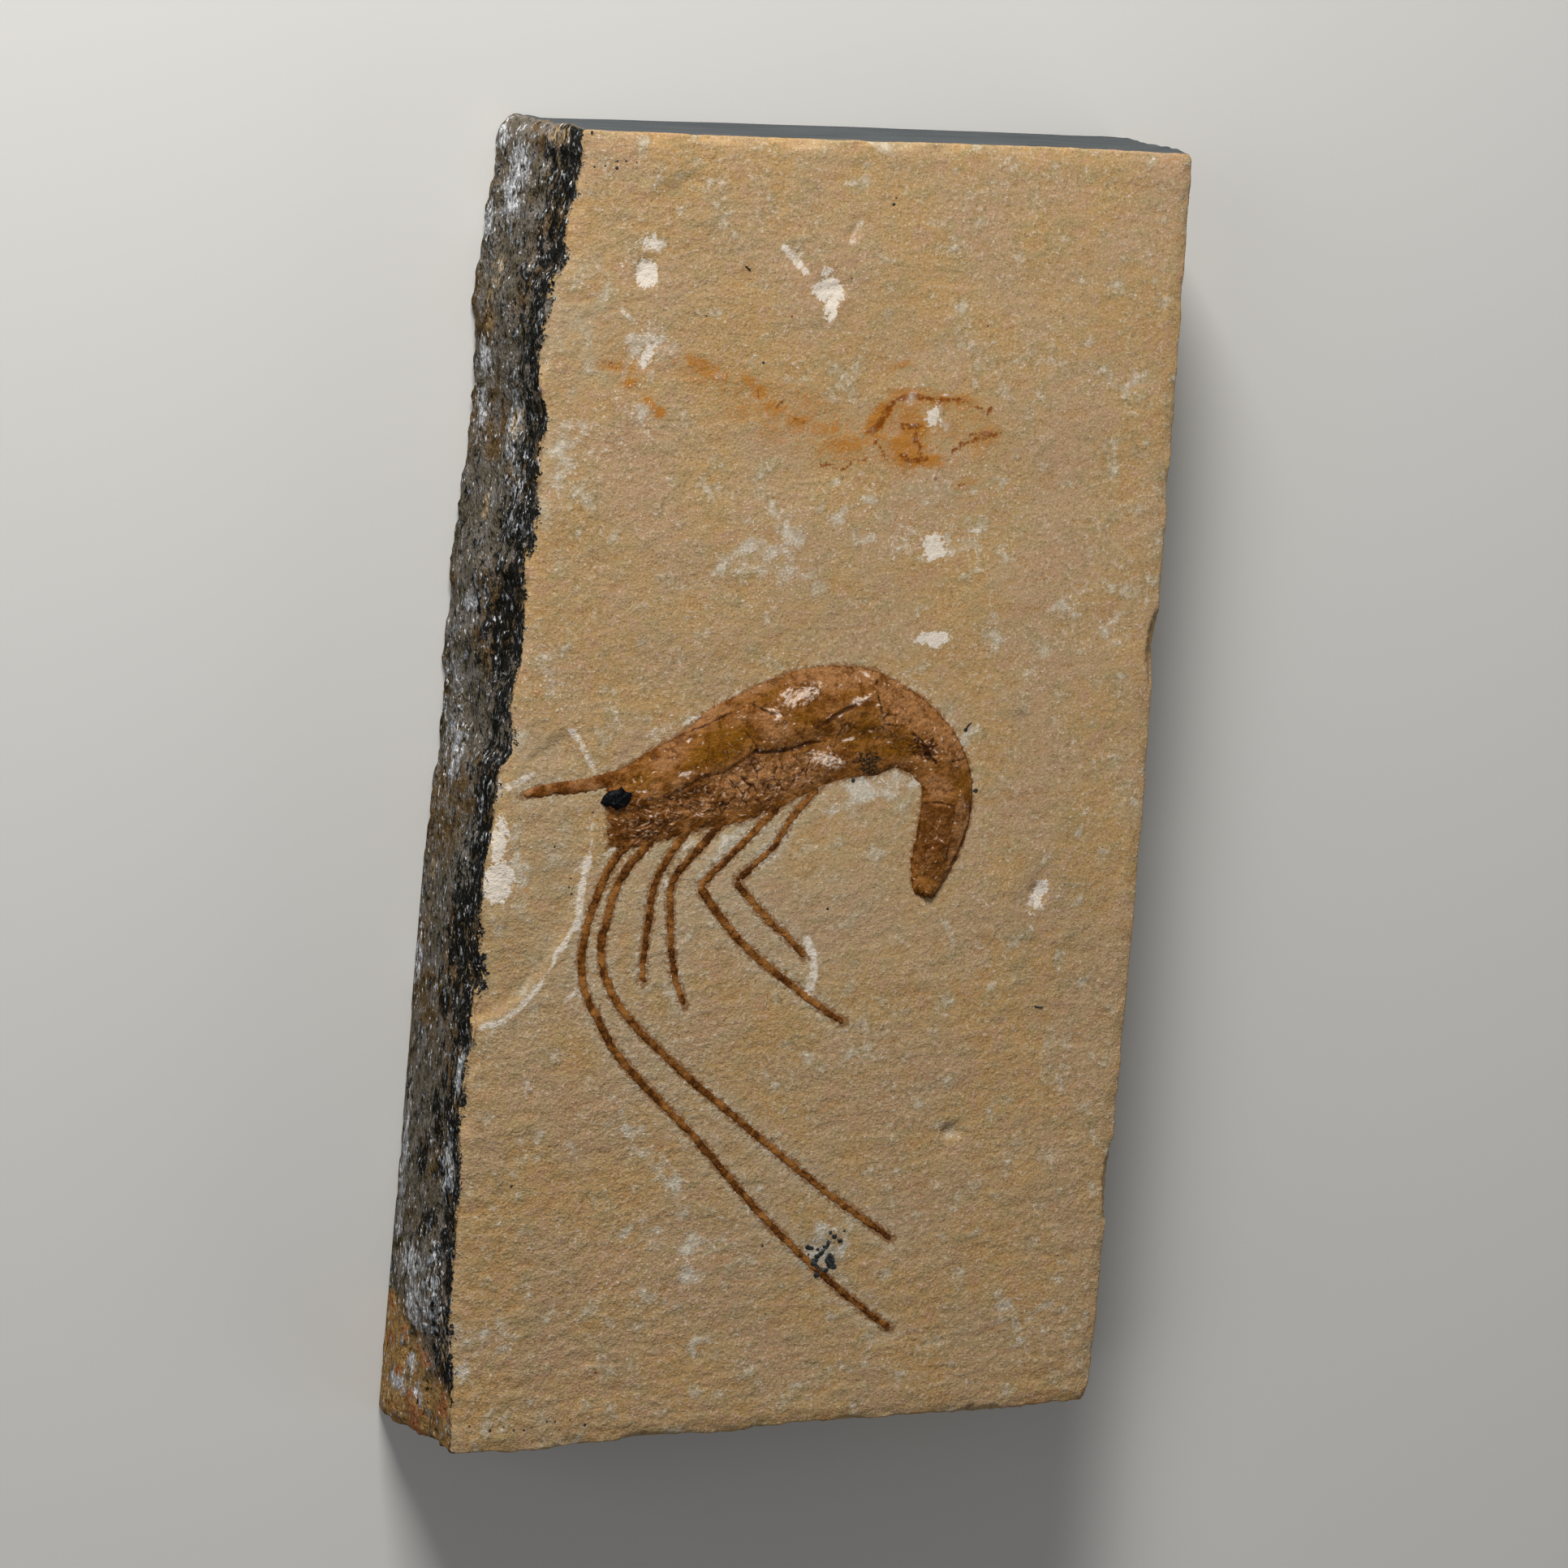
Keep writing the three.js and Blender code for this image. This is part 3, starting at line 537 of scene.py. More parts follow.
marks = {
    "chalk": [  # solid white bruises: x, y, half width, half height, turn
        (-21.8, 45, 1, 1.1, 0), (-4.3, 45.3, 1.5, 1.1, 0), (-4, 43.9, .5, .9, 8), (-4.7, 46.7, .3, .5, 0),
        (8.4, 22.9, 1, 1.2, 20), (9.2, 14.4, 1, .45, 5), (-21.2, 37.9, .4, .8, -20), (7.1, 34.7, .45, .6, 0),
        (-31.1, -6.6, .6, 1.8, 0), (-30.9, -10.2, 1.4, 1.7, 0), (22.4, -9, .6, 1.4, -25),
        (-21.9, 47.9, .5, .5, 0)],
    "chalkLines": [  # scratches and crushed edges: half width, points
        (.4, [(-9, 48.8), (-7.7, 47.6), (-6.7, 46.6)]), (.34, [(-2.6, 49.7), (-1.7, 51.7)]),
        (.28, [(-24.1, 41.8), (-22.2, 40.4)]), (.14, [(-25.5, 42.4), (-25.1, 42.1)]),
        (.18, [(-8.1, 39.2), (-7.4, 38.6), (-6.5, 37.9)]), (.1, [(-21.4, 40.3), (-20.6, 40.2)]),
        (.1, [(-21.4, 39.9), (-20.2, 39.6)]), (.1, [(-21, 39.4), (-20.4, 39.2)]),
        (.09, [(-22.9, 36.7), (-21.4, 37)]), (.09, [(-22.7, 37.1), (-21.3, 37.3)]),
        (.09, [(-22.3, 37.6), (-21.4, 37.7)]), (.1, [(-20.5, 37.5), (-19.4, 37)]),
        (.1, [(-20.8, 37), (-19.6, 36.6)]), (.16, [(7.8, 36.9), (8.5, 36.9)]),
        (.15, [(9.1, 30.6), (9.8, 31.2)]), (.13, [(9.9, 31.6), (11.4, 32.4)]),
        (.12, [(13, 31.9), (13.4, 32.2)]), (.14, [(7, 34), (7.4, 34.6)]), (.1, [(5.6, 36), (6.9, 36)]),
        (.06, [(1.9, 32.2), (2.5, 31.6), (2.8, 31.1)]),
        (.27, [(-31.6, -23.5), (-28.4, -21.9), (-26, -19), (-24.7, -16.3), (-23.3, -13.7)]),
        (.44, [(-23.1, -13.4), (-22.9, -11), (-22.8, -8.8), (-22.6, -7.4)]),
        (.2, [(-22.6, -7.2), (-22.5, -4.2)]),
        (.34, [(-25.4, 3.8), (-24.5, 3.1), (-23.8, 2), (-23.1, .9), (-22.5, .1)]),
        (.12, [(-27.6, -4.8), (-27.2, -4.2), (-26.4, -3.2)]), (.18, [(-23.9, -21), (-22.8, -19.8)]),
        (.44, [(-.7, -14.2), (.1, -15.6), (.3, -17.2), (0, -18.9)]), (.16, [(-29.2, -57.1), (-29.1, -58.7)]),
        (.16, [(.2, 20.6), (1.1, 19.7)]), (.15, [(7.4, 36.9), (9, 36.8)]),
        (.17, [(4.7, 24.6), (7.3, 24), (9.8, 24.2), (12.9, 24.7)]), (.13, [(4.1, 23.2), (6.2, 22.3)]),
        (.14, [(8.2, 21.8), (10.6, 22.4)]), (.3, [(-30.7, -1.5), (-28.6, -.2)]),
        (.2, [(-31.5, -.6), (-32, -5.2)]), (.12, [(-28.9, 44.3), (-27.6, 44.4)]),
        (.13, [(-13.9, -6.2), (-13.4, -5.6), (-12.9, -5.2), (-12.3, -4.8)]),
        (.12, [(-13.6, -6.5), (-13, -6), (-12.4, -5.4)]), (.12, [(-10.6, -6.1), (-9.8, -5.7), (-9.1, -5.4)]),
        (.12, [(-10.3, -5.4), (-9.6, -5), (-8.7, -4.7)]), (.11, [(-11.4, -7.5), (-10.5, -6.8), (-9.6, -6.6)]),
        (.11, [(-11.8, -8.4), (-11.1, -7.7), (-10.2, -7.4)]), (.1, [(-12.7, -9.3), (-11.8, -9), (-11, -8.7)]),
        (.13, [(-13.1, -10.3), (-12.1, -10.9)]), (.14, [(-20.6, -6.8), (-19.8, -6.5)]),
        (.13, [(-18.8, -6.6), (-18.2, -6.2)]), (.12, [(-20, -8.7), (-19.3, -7.6)]),
        (.1, [(-20.6, -10.5), (-20, -9.4)]), (.16, [(-14.7, -8.4), (-14.9, -9.6), (-15.1, -10.3)]),
        (.12, [(-16.4, -8.6), (-15.7, -8.7)]), (.12, [(-12.4, -6.7), (-12.9, -7.1), (-13.4, -7.5)]),
        (.13, [(-17.6, 3.2), (-16.4, 3.9), (-15.2, 4.9)]), (.11, [(-15.5, 4.4), (-14.2, 5.4), (-13.2, 5.8)]),
        (.12, [(8.1, 9.8), (8.8, 9.2), (9.6, 8.6)]), (.1, [(7.2, 10.3), (8, 9.9)]),
        (.12, [(10.2, 8.1), (11, 7)]), (.14, [(5.9, 2), (6.7, 1.5), (7.4, 1.4)]),
        (.14, [(4.6, .4), (5, -.2)])],
    "frost": [  # scuffed places, seen as crowded pale flecks: x, y, half width, half height, turn, strength
        (-21.7, 47.8, 1.1, .9, 0, .8), (-24.1, 45.6, .9, .7, 0, .7), (-20.9, 38.2, 2.7, 2.4, 45, .7),
        (-27.7, 28.2, 1.6, 3.6, -12, .6), (-29.3, 25.2, 1.5, 2.2, -30, .75), (-23, 32, 2.6, 3, 40, .55),
        (-8, 20.8, 4.4, 3.6, 0, .6), (8.3, 23.4, 5.2, 2.2, 5, .6), (11, 28, 7, 2.4, 0, .35),
        (1, 26, 6, 3, 0, .3), (23.3, 18.9, 2.8, 1.3, 10, .5), (27.4, 16.4, 2.4, 2, 0, .5),
        (26.1, 39.8, 2.2, 1.4, 0, .45), (19.4, 11.6, 1.1, 1.1, 0, .7), (-28.7, 43.6, 2, 1, 0, .45),
        (7.4, 34.6, 1.1, 1.3, 0, .5), (-3.2, -11, .9, .8, 0, .6), (-26.3, -28.5, .8, .6, 0, .8),
        (-22, -34, 1.6, .9, 0, .4), (-21.5, -41.7, 1.8, 1.2, 0, .5), (-13, -45, 6, 4, 20, .4),
        (-30.3, -54.6, .9, .7, 0, .7), (-27.9, -52, 2.8, 1.5, 0, .5), (22.3, -9.2, 1.1, 1.7, -15, .7),
        (15.7, -31.7, 1.5, 1.1, 0, .6), (4, -43.2, 2.4, 3, 0, .7), (-17.5, -53.9, 1, .7, 0, .6),
        (-28, 8.5, 2.6, 3, 0, .4), (-17, 4.3, 1.9, .7, 30, .9), (8, 9.9, 2.4, .6, -35, .7),
        (6.9, 1, 2.4, .9, -5, 1), (3.8, 0, 2.8, 1, -4, 1.1), (1.2, -1.6, 2, .8, 30, .8),
        (-30, -9, 2, 3.4, 0, .6), (-9.5, -6.2, 3.6, 1.3, 45, .7), (-5.5, -6.5, 2.8, .9, 45, .6),
        (-14, -34.5, 1.2, 6.5, 42, .55), (-22.9, -10.2, .9, 3.6, 0, .6), (13.6, 4.8, 1.2, 1.5, 0, .5),
        (14.9, .4, .8, 1, 0, .5), (25, -50, 4, 3, 0, .4), (10, -53, 5, 2, 0, .3),
        (-17.2, 1.2, 3.5, .8, 30, .3)],
    "paleStone": [  # places where the skin of the face is gone: x, y, half width, half height, turn, strength
        (-27.3, 39.5, 3.2, 5.2, 10, .5), (-27.5, -12, 4.4, 9.5, 0, .45), (-29.5, 1.6, 3, 1.4, 0, .5),
        (4, -9, 9, 8, 0, .25), (-11.5, -8, 7, 5, 30, .5), (-29.4, 26.5, 1.6, 4, -8, .6),
        (11, 27, 7, 3, 0, .3), (5, .2, 3.6, 1.3, 0, .9)],
    "stainLines": [  # the faint second fossil: half width, points
        (.26, [(3.3, 35.9), (4.1, 36.3), (5.3, 36.4), (6.5, 36.4)]),
        (.2, [(6.5, 36.4), (7.8, 36.3), (9.2, 36.6), (10.2, 36.3), (11.3, 36)]),
        (.36, [(2.8, 35.4), (2.4, 34.8), (2.1, 34), (1.6, 33.3), (1, 32.9)]),
        (.2, [(1.5, 32.3), (1.9, 31.7), (2.4, 31.1), (2.9, 30.5)]),
        (.3, [(4.1, 33.6), (5.4, 33.7), (5.8, 33.8)]), (.28, [(5.5, 33.4), (5.5, 32.6), (5.8, 32.1)]),
        (.24, [(6, 31.8), (6.3, 31.3)]), (.3, [(4.2, 30.9), (5.4, 30.6), (6.8, 30.8)]),
        (.17, [(9.3, 31.7), (10.6, 32.8)]), (.16, [(10.7, 33.3), (12, 33.7)]),
        (.18, [(12, 33.1), (12.4, 33.8)]), (.3, [(12.4, 33.3), (13.3, 33.6)]),
        (.14, [(13.3, 33.6), (14.2, 33.9)]), (.18, [(12.5, 35.4), (12.8, 36.1)]),
        (.15, [(11.3, 36), (12.3, 35.6)]), (.2, [(-3.5, 29.5), (-2.5, 29.5), (-1.2, 29.3), (-.5, 29.9)]),
        (.12, [(.3, 30.1), (.9, 30.5)]), (.15, [(7.9, 29.1), (8.4, 28.6)]),
        (.18, [(10.2, 28.7), (11.4, 29.1)]), (.18, [(-8.3, 34.3), (-7.8, 34.9)]),
        (.16, [(9.9, 32.2), (11.6, 33), (12.6, 33.2)]), (.12, [(-6.4, 33.4), (-5.4, 33)]),
        (.1, [(-24.8, 36.8), (-22.9, 36.5)]), (.14, [(-10.4, 35.6), (-10, 35.2)])],
    "stainSpots": [  # x, y, half width, half height, turn, strength
        (4.2, 31.4, 1.3, 1.5, 0, 1.3), (6.4, 30.8, 2.2, .9, 0, 1.3), (5.2, 33.3, 1.9, 1.1, 0, 1),
        (1.8, 34.1, .9, 2, -30, 1.3), (4.2, 32.6, 3.2, 3.4, 0, .7), (-1.1, 31.5, 2.4, .9, 0, .7),
        (-3.5, 32.8, 1.9, .6, 5, .85), (-6, 33.2, 1.2, .6, 0, .85), (-8.6, 34.3, 1.1, .7, 0, .85),
        (-10.2, 35.5, .9, .7, 0, 1), (-11.1, 36.4, 1.1, .6, -40, .8), (-15.4, 37.2, 2.8, .7, -22, .75),
        (-23, 36.6, 2.8, .4, 0, .8), (3.6, 39.1, 2, .4, 20, .6), (7, 36.4, 4.8, .8, 0, .75),
        (10.9, 28.9, 1.3, .6, 15, .65), (12.6, 33.4, 1.6, .8, 20, .6), (8, 33.5, 6.4, 3.8, 0, .34),
        (-5.5, 33, 9.5, 3.2, -16, .36), (-19.3, 38.6, .7, .4, -40, .8), (-22.7, 35.4, .7, .4, 0, 1.2),
        (-20.7, 33.8, .9, .4, -40, 1.2), (-19.5, 32.9, .6, .5, 0, 1.2), (-16, 36.6, 6, 1.6, -20, .3),
        (-28.7, 6.9, .6, .35, 0, .8), (-28.4, -10.7, .4, .35, 0, .7), (-22, 37.5, 4, 1.8, 0, .3),
        (6, 26, 4, 2, 0, .22)],
    "shadeAndSmudgeSpots": [  # grey smudges, partly painted shade on scar slopes: x, y, half width, half height, turn, strength
        (-20.8, 53, 1.5, .8, 15, .5), (-18.9, 54.3, 1.2, .5, 10, .5), (-6.9, 54.5, 1, .4, -20, .5),
        (-3.9, 43, 3, 1, 0, .2), (-8.9, -16.6, 1, .4, 0, .6), (18.8, 8, .5, .4, 0, .7),
        (-.5, 43, 8, 3, 0, .12), (-28.4, -37.6, .7, .6, 0, .5), (-28, 3, 2.4, .7, 15, .15),
        (-26.5, -9, 2.4, .8, 15, .35), (24.5, -9, 5, 9, 0, .15), (3.8, -43.6, 2, 2.2, -30, 1.1),
        (3.6, 1.2, 1.3, .6, 0, .9), (2.2, .8, .6, .5, 0, .6)],
    "specks": [  # black mineral dots: x, y, radius
        (-27.7, 54, .1), (-26.7, 54.2, .12), (-25.6, 54.1, .22), (-25.6, 54.7, .13), (-24.8, 54.8, .14),
        (-23.8, 54.8, .1), (-28.2, 57, .14), (1.3, 53.6, .2), (1.5, 54.2, .12), (-15.9, 41.9, .12),
        (-26.1, 13.6, .1), (-25.9, -6.7, .13), (-2.3, -42.9, .15), (-29.3, -59.9, .13), (-27.3, -60.3, .2),
        (-26, -60, .11), (-25, -60.3, .14), (-24, -60.3, .17), (-23.3, -60, .1), (-21.9, -59.5, .12),
        (-21.1, -59.5, .13), (-19.7, -59.3, .1), (-18.2, -59.8, .17), (-10, 38.2, .16), (-24.1, -9.5, .12),
        (-23.9, -10.9, .14), (-24.2, -10.3, .1), (-27.3, -37.7, .18), (13.3, 6.1, .24), (14.9, .5, .26),
        (2.5, .8, .3), (-22.6, -3.4, .14), (1.1, -11.2, .17), (4.4, -41.6, .26), (5.8, -41.4, .16),
        (3.3, -43.2, .2), (2.4, -43.7, .15)],
    "specksRusty": [(-7.7, 42.6, .17), (-2.2, 46.6, .15), (11.7, 43.5, .16), (-20.6, -60.2, .1),
        (-17.6, -54.9, .16)],
    "inkLines": [  # fine black growths: half width, points
        (.2, [(2, -42.9), (2.5, -43.1), (2.9, -43.1)]), (.18, [(3.7, -43), (4.3, -42.8)]),
        (.2, [(3, -44), (3.7, -43.5), (4.2, -42.8), (4.2, -42.2)]),
        (.32, [(4.8, -43.6), (4.4, -44.1), (4.3, -44.6)]), (.32, [(4.3, -44.5), (4.8, -44.7), (5.4, -44.8)]),
        (.28, [(4.7, -43.9), (4.9, -44.6)]), (.36, [(3.7, -45.1), (3.5, -45.5), (3.2, -45.9)]),
        (.26, [(3.6, -45.2), (4.6, -45.1)]), (.32, [(2.7, -44.1), (3, -44.6), (3.6, -45.1)]),
        (.2, [(3, -44), (3.4, -44.4)]), (.26, [(4.6, -42.1), (5.1, -41.8)]),
        (.22, [(5.2, -42.5), (5.7, -42.2)]), (.05, [(-12.6, 46.7), (-12, 46.3)]),
        (.06, [(13.3, 6.1), (13.5, 6.6), (13.9, 6.9)]), (.08, [(23.1, -19.6), (24.1, -19.7)])],
}

crustMarks = {  # patches on the weathered side: y, z, half length, half height, strength
    "pale": [(52.8, 5.7, 4, 2.4, 1), (57.1, 1.4, 1.6, 1.2, .8), (49.5, 1.2, 2, 1.1, .9),
        (36.4, 3.6, 1.7, 1.5, 1), (33, 2.8, 1.2, 1, .8), (31, 3.6, 2.2, .8, .8), (-47.2, 6.6, 1.7, 2.4, 1),
        (-50.6, 7.9, 2.4, 2.2, .9), (-56.5, 7.6, .9, 1, .9), (-58.9, 5, .8, 2.2, .9),
        (-58.8, 9.7, 1.3, 1, .9), (-27.9, 16, 2.4, .8, 1), (-19.6, 1, 4, 1, .8), (-38, 1.6, 5.5, 1.1, .7),
        (-45, 2, 3, .7, .7), (-36.5, 14, 3, 1.6, .7), (.6, 5.1, 2.6, 1.3, .9), (14.2, 6.2, 1, 1.2, .8),
        (30.6, 10.2, 3.2, 1.3, .7), (5, 3, 8, 2.4, .35), (-49, 12, 4, 3.4, .5), (24, 12.5, 4, 2, .35)],
    "black": [(-22.4, 9.7, 1.6, 1.4, 1), (14.2, 7.6, .9, .7, 1), (-32.5, 10.7, 2, 1.8, 1),
        (-37.1, 7.3, 2, 1.6, .9), (-56.5, 14.4, 1.5, .7, 1), (12.2, 13, 5, 3.4, 1), (-15, 12.6, 6.5, 3.4, 1),
        (-43, 10, 2, 1.6, .7), (1, 14.5, 4, 2.4, .8), (21.5, 12.5, 3.4, 2.6, .8), (7, 8.6, 2.2, .5, .8),
        (45, 13, 3, 2.6, .6)],
    "orange": [(-59.5, 4, 6.5, 8, 1), (-60.5, 13, 3.6, 6.5, 1), (-54.8, 2, 4, 4, .9), (-60.4, 14.6, 2, 3, 1)],
    "tan": [(30.9, 10.9, 1.5, .9, 1), (23, 7, 1.4, .6, 1), (42.5, 5, 5, 2, .5), (-12, 3, 6, 1.2, .5),
        (57, 13, 1.2, 3, .9), (-52.5, 15.5, 3.5, 1.6, .5)],
}


def slabFields(points, depth, under, shares, runs):
    # What the slab's finish needs to know at every point of its mesh.
    x, y, z = points.T
    onFace = depth == 0
    spots = {k: strongest(x, y, marks[k]) * onFace for k in ("frost", "stainSpots", "shadeAndSmudgeSpots")}
    pale = strongest(x, y, marks["paleStone"], .8) * onFace
    chalk = np.max([inSpot(x, y, spot) for spot in marks["chalk"]], axis=0)
    lines = [lineField(x, y, marks[k]) for k in ("chalkLines", "stainLines")]
    chalk, scratches, stain = (np.where(onFace, np.clip(field, -2, 2), -2) for field in (chalk, *lines))
    left = {k: strongest(y, z, marked, .6) * shares[0] * ~onFace for k, marked in crustMarks.items()}
    return {
        "scratches": scratches, "bruises": (chalk, spots["frost"], pale),
        "stains": (stain, spots["stainSpots"], spots["shadeAndSmudgeSpots"]),
        "nearFossil": (np.clip(inOutline(x, y, bodyRing), -4, 4), np.clip(fromLimbs(x, y), 0, 4), depth),
        "runs": [np.clip(runs[k], -6, 6) for k in ("left", "bottom", "top")],
        "sides": shares[[0, 2, 3]] * (1 - under), "underside": under,
        "crustMarks": (left["pale"], left["black"], left["orange"]), "crustTan": left["tan"],
    }


def nearRim(points, depth, runs):
    # True at each point of the slab on a side or within a few millimetres of the rim.
    nearest = np.min(list(runs.values()), axis=0)
    return (nearest < block["rimBand"]) | (np.abs(points[:, 0]) > block["sideBand"]) | (depth > 0)


blockPoints, blockQuads, blockFan, known = makeBlock()
blockFields = slabFields(blockPoints, **known)
print("marks worked out")


def fill(node, sockets):
    # Gives each named input of a node its value, or a link from another node's output.
    for key, value in sockets.items():
        if isinstance(value, bpy.types.NodeSocket):
            node.id_data.links.new(value, node.inputs[key])
        else:
            node.inputs[key].default_value = value
    return node


def put(kind, sockets, tree=None, **settings):
    # Adds a node to the tree, or else to the one that the first output given belongs to.
    if tree is None:
        tree = next(value for value in sockets.values() if isinstance(value, bpy.types.NodeSocket)).id_data
    made = tree.nodes.new("ShaderNode" + kind)
    for name, value in settings.items():
        setattr(made, name, value)
    return fill(made, sockets)


def calc(operation, *values):
    return put("Math", dict(enumerate(values)), operation=operation).outputs[0]


def plus(a, b):
    return calc("ADD", a, b)


def less(a, b):
    return calc("SUBTRACT", a, b)


def times(a, b):
    return calc("MULTIPLY", a, b)


def timesPlus(a, b, c):
    return calc("MULTIPLY_ADD", a, b, c)


def larger(a, b):
    return calc("MAXIMUM", a, b)


def stretch(where, factors):
    return put("VectorMath", {0: where, 1: factors}, operation="MULTIPLY").outputs[0]


def mix(share, low, high):
    return put("Mix", {0: share, 6: low, 7: high}, data_type="RGBA").outputs[2]


def ramp(value, low, high, start=0.0, end=1.0):
    # Smooth step between low and high.
    sockets = {0: value, 1: low, 2: high, 3: start, 4: end}
    return put("MapRange", sockets, interpolation_type="SMOOTHSTEP").outputs[0]


def cloud(where, scale, detail=2.0, roughness=.5, distortion=0.0):
    return put("TexNoise", {"Vector": where, "Scale": scale, "Detail": detail, "Roughness": roughness,
                            "Distortion": distortion}).outputs[0]


def bump(height, distance, strength=1.0):
    return put("Bump", {"Height": height, "Strength": strength, "Distance": distance * millimetre}).outputs[0]


def tone(red, green, blue):
    # A screen colour as the linear one that a shader takes.
    parts = (((c / 255 + .055) / 1.055) ** 2.4 if c > 10 else c / 255 / 12.92 for c in (red, green, blue))
    return (*parts, 1.0)


def millimetres(tree):
    # Object coordinates counted in millimetres, so that a scale is features per millimetre.
    return stretch(put("TexCoord", {}, tree).outputs["Object"], (1 / millimetre,) * 3)


def fieldOf(tree, name):
    return put("Attribute", {}, tree, attribute_name=name).outputs


def threeOf(tree, name):
    return put("SeparateXYZ", {0: fieldOf(tree, name)["Vector"]}).outputs


def startGroup(name, inputs, outputs):
    group = bpy.data.node_groups.new(name, "ShaderNodeTree")
    for label, kind in inputs.items():
        group.interface.new_socket(name=label, in_out="INPUT", socket_type="NodeSocket" + kind)
    for label in outputs:
        group.interface.new_socket(name=label, in_out="OUTPUT", socket_type="NodeSocketFloat")
    return group, group.nodes.new("NodeGroupInput").outputs, group.nodes.new("NodeGroupOutput")


def makeCloudGroup():
    # One set of clouds, shared by every tone of the stone: from patches a centimetre wide to single grains.
    group, given, result = startGroup("stoneClouds", {"Where": "Vector"},
                                      ("Broad", "Bands", "Middle", "Small", "Fine", "Height"))
    broad, bands, middle = threeOf(group, "clouds")
    small = cloud(given["Where"], 1.9, 3.0, .76)
    fine, middle = cloud(given["Where"], 4.6, 1.0, .7), timesPlus(less(small, .5), .3, middle)
    fill(result, {"Broad": broad, "Bands": bands, "Middle": middle, "Small": small, "Fine": fine,
                  "Height": timesPlus(bands, .7, small)})
    return group


def makeRaggedGroup():
    # A field in millimetres becomes a mask with a torn edge: a cloud, less its middle value, is added
    # before the cut.
    inputs = dict.fromkeys(("Field", "Cloud", "Torn", "Soft"), "Float")
    group, given, result = startGroup("raggedEdge", inputs, ["Mask"])
    moved = timesPlus(less(given["Cloud"], .5), given["Torn"], given["Field"])
    fill(result, {"Mask": ramp(moved, times(given["Soft"], -1.0), given["Soft"])})
    return group


cloudGroup, raggedGroup = makeCloudGroup(), makeRaggedGroup()


def ragged(field, cloudy, torn, soft):
    sockets = {"Field": field, "Cloud": cloudy, "Torn": torn, "Soft": soft}
    return put("Group", sockets, node_tree=raggedGroup).outputs["Mask"]


def startMaterial(name):
    # A new material, its tree and its shader.
    material = bpy.data.materials.new(name)
    material.use_nodes = True
    return material, material.node_tree, material.node_tree.nodes["Principled BSDF"]


def startClouds(tree):
    # The place of each point and the clouds there.
    where = millimetres(tree)
    return where, put("Group", {"Where": where}, node_tree=cloudGroup).outputs


def lay(colour, tones, *coats):
    # Lays named tones over a colour, one after another, each by its mask.
    for mask, name in coats:
        colour = mix(mask, colour, tones[name])
    return colour


def tint(colour, tones, *coats):
    # Lays named tones over a colour, each by a ramp: value, low and high end, share reached, name.
    for value, low, high, share, name in coats:
        colour = mix(ramp(value, low, high, 0.0, share), colour, tones[name])
    return colour


def finish(shader, colour, rough, normal, shine=0):
    # Colour, roughness and bump vary over the piece; the shine is the same all over.
    fill(shader, {"Base Color": colour, "Roughness": rough, "Normal": normal, "Specular IOR Level": shine})


stone = {
    "tan": tone(180, 152, 112), "warm": tone(183, 148, 100), "olive": tone(162, 144, 104),
    "pinkish": tone(182, 144, 116), "rusty": tone(172, 130, 82), "filmStain": tone(126, 84, 46),
    "light": tone(204, 186, 156), "dark": tone(112, 86, 56), "chalk": tone(226, 214, 198),
    "frost": tone(206, 198, 182), "pale": tone(182, 164, 134), "stain": tone(176, 112, 30),
    "stainLine": tone(124, 65, 15), "shadeAndSmudge": tone(110, 94, 70), "greyHalo": tone(184, 170, 144),
    "crust": tone(100, 92, 78), "crustBlack": tone(13, 18, 19), "crustGrey": tone(124, 118, 112),
    "crustBloom": tone(164, 166, 170), "crustPale": tone(222, 224, 226), "crustOlive": tone(58, 50, 34),
    "crustBrown": tone(102, 82, 54), "crustOrange": tone(158, 125, 77), "rust": tone(160, 104, 66),
    # The sawn tone is the sawn end's grey, darkened and cooled by painted shade; the green tone is painted
    # shade along the bottom rim.
    "green": tone(40, 46, 34), "sawn": tone(84, 87, 89), "broken": tone(176, 150, 112),
    "brokenDark": tone(108, 88, 62), "bump": .12,  # depth of the grain in mm
}


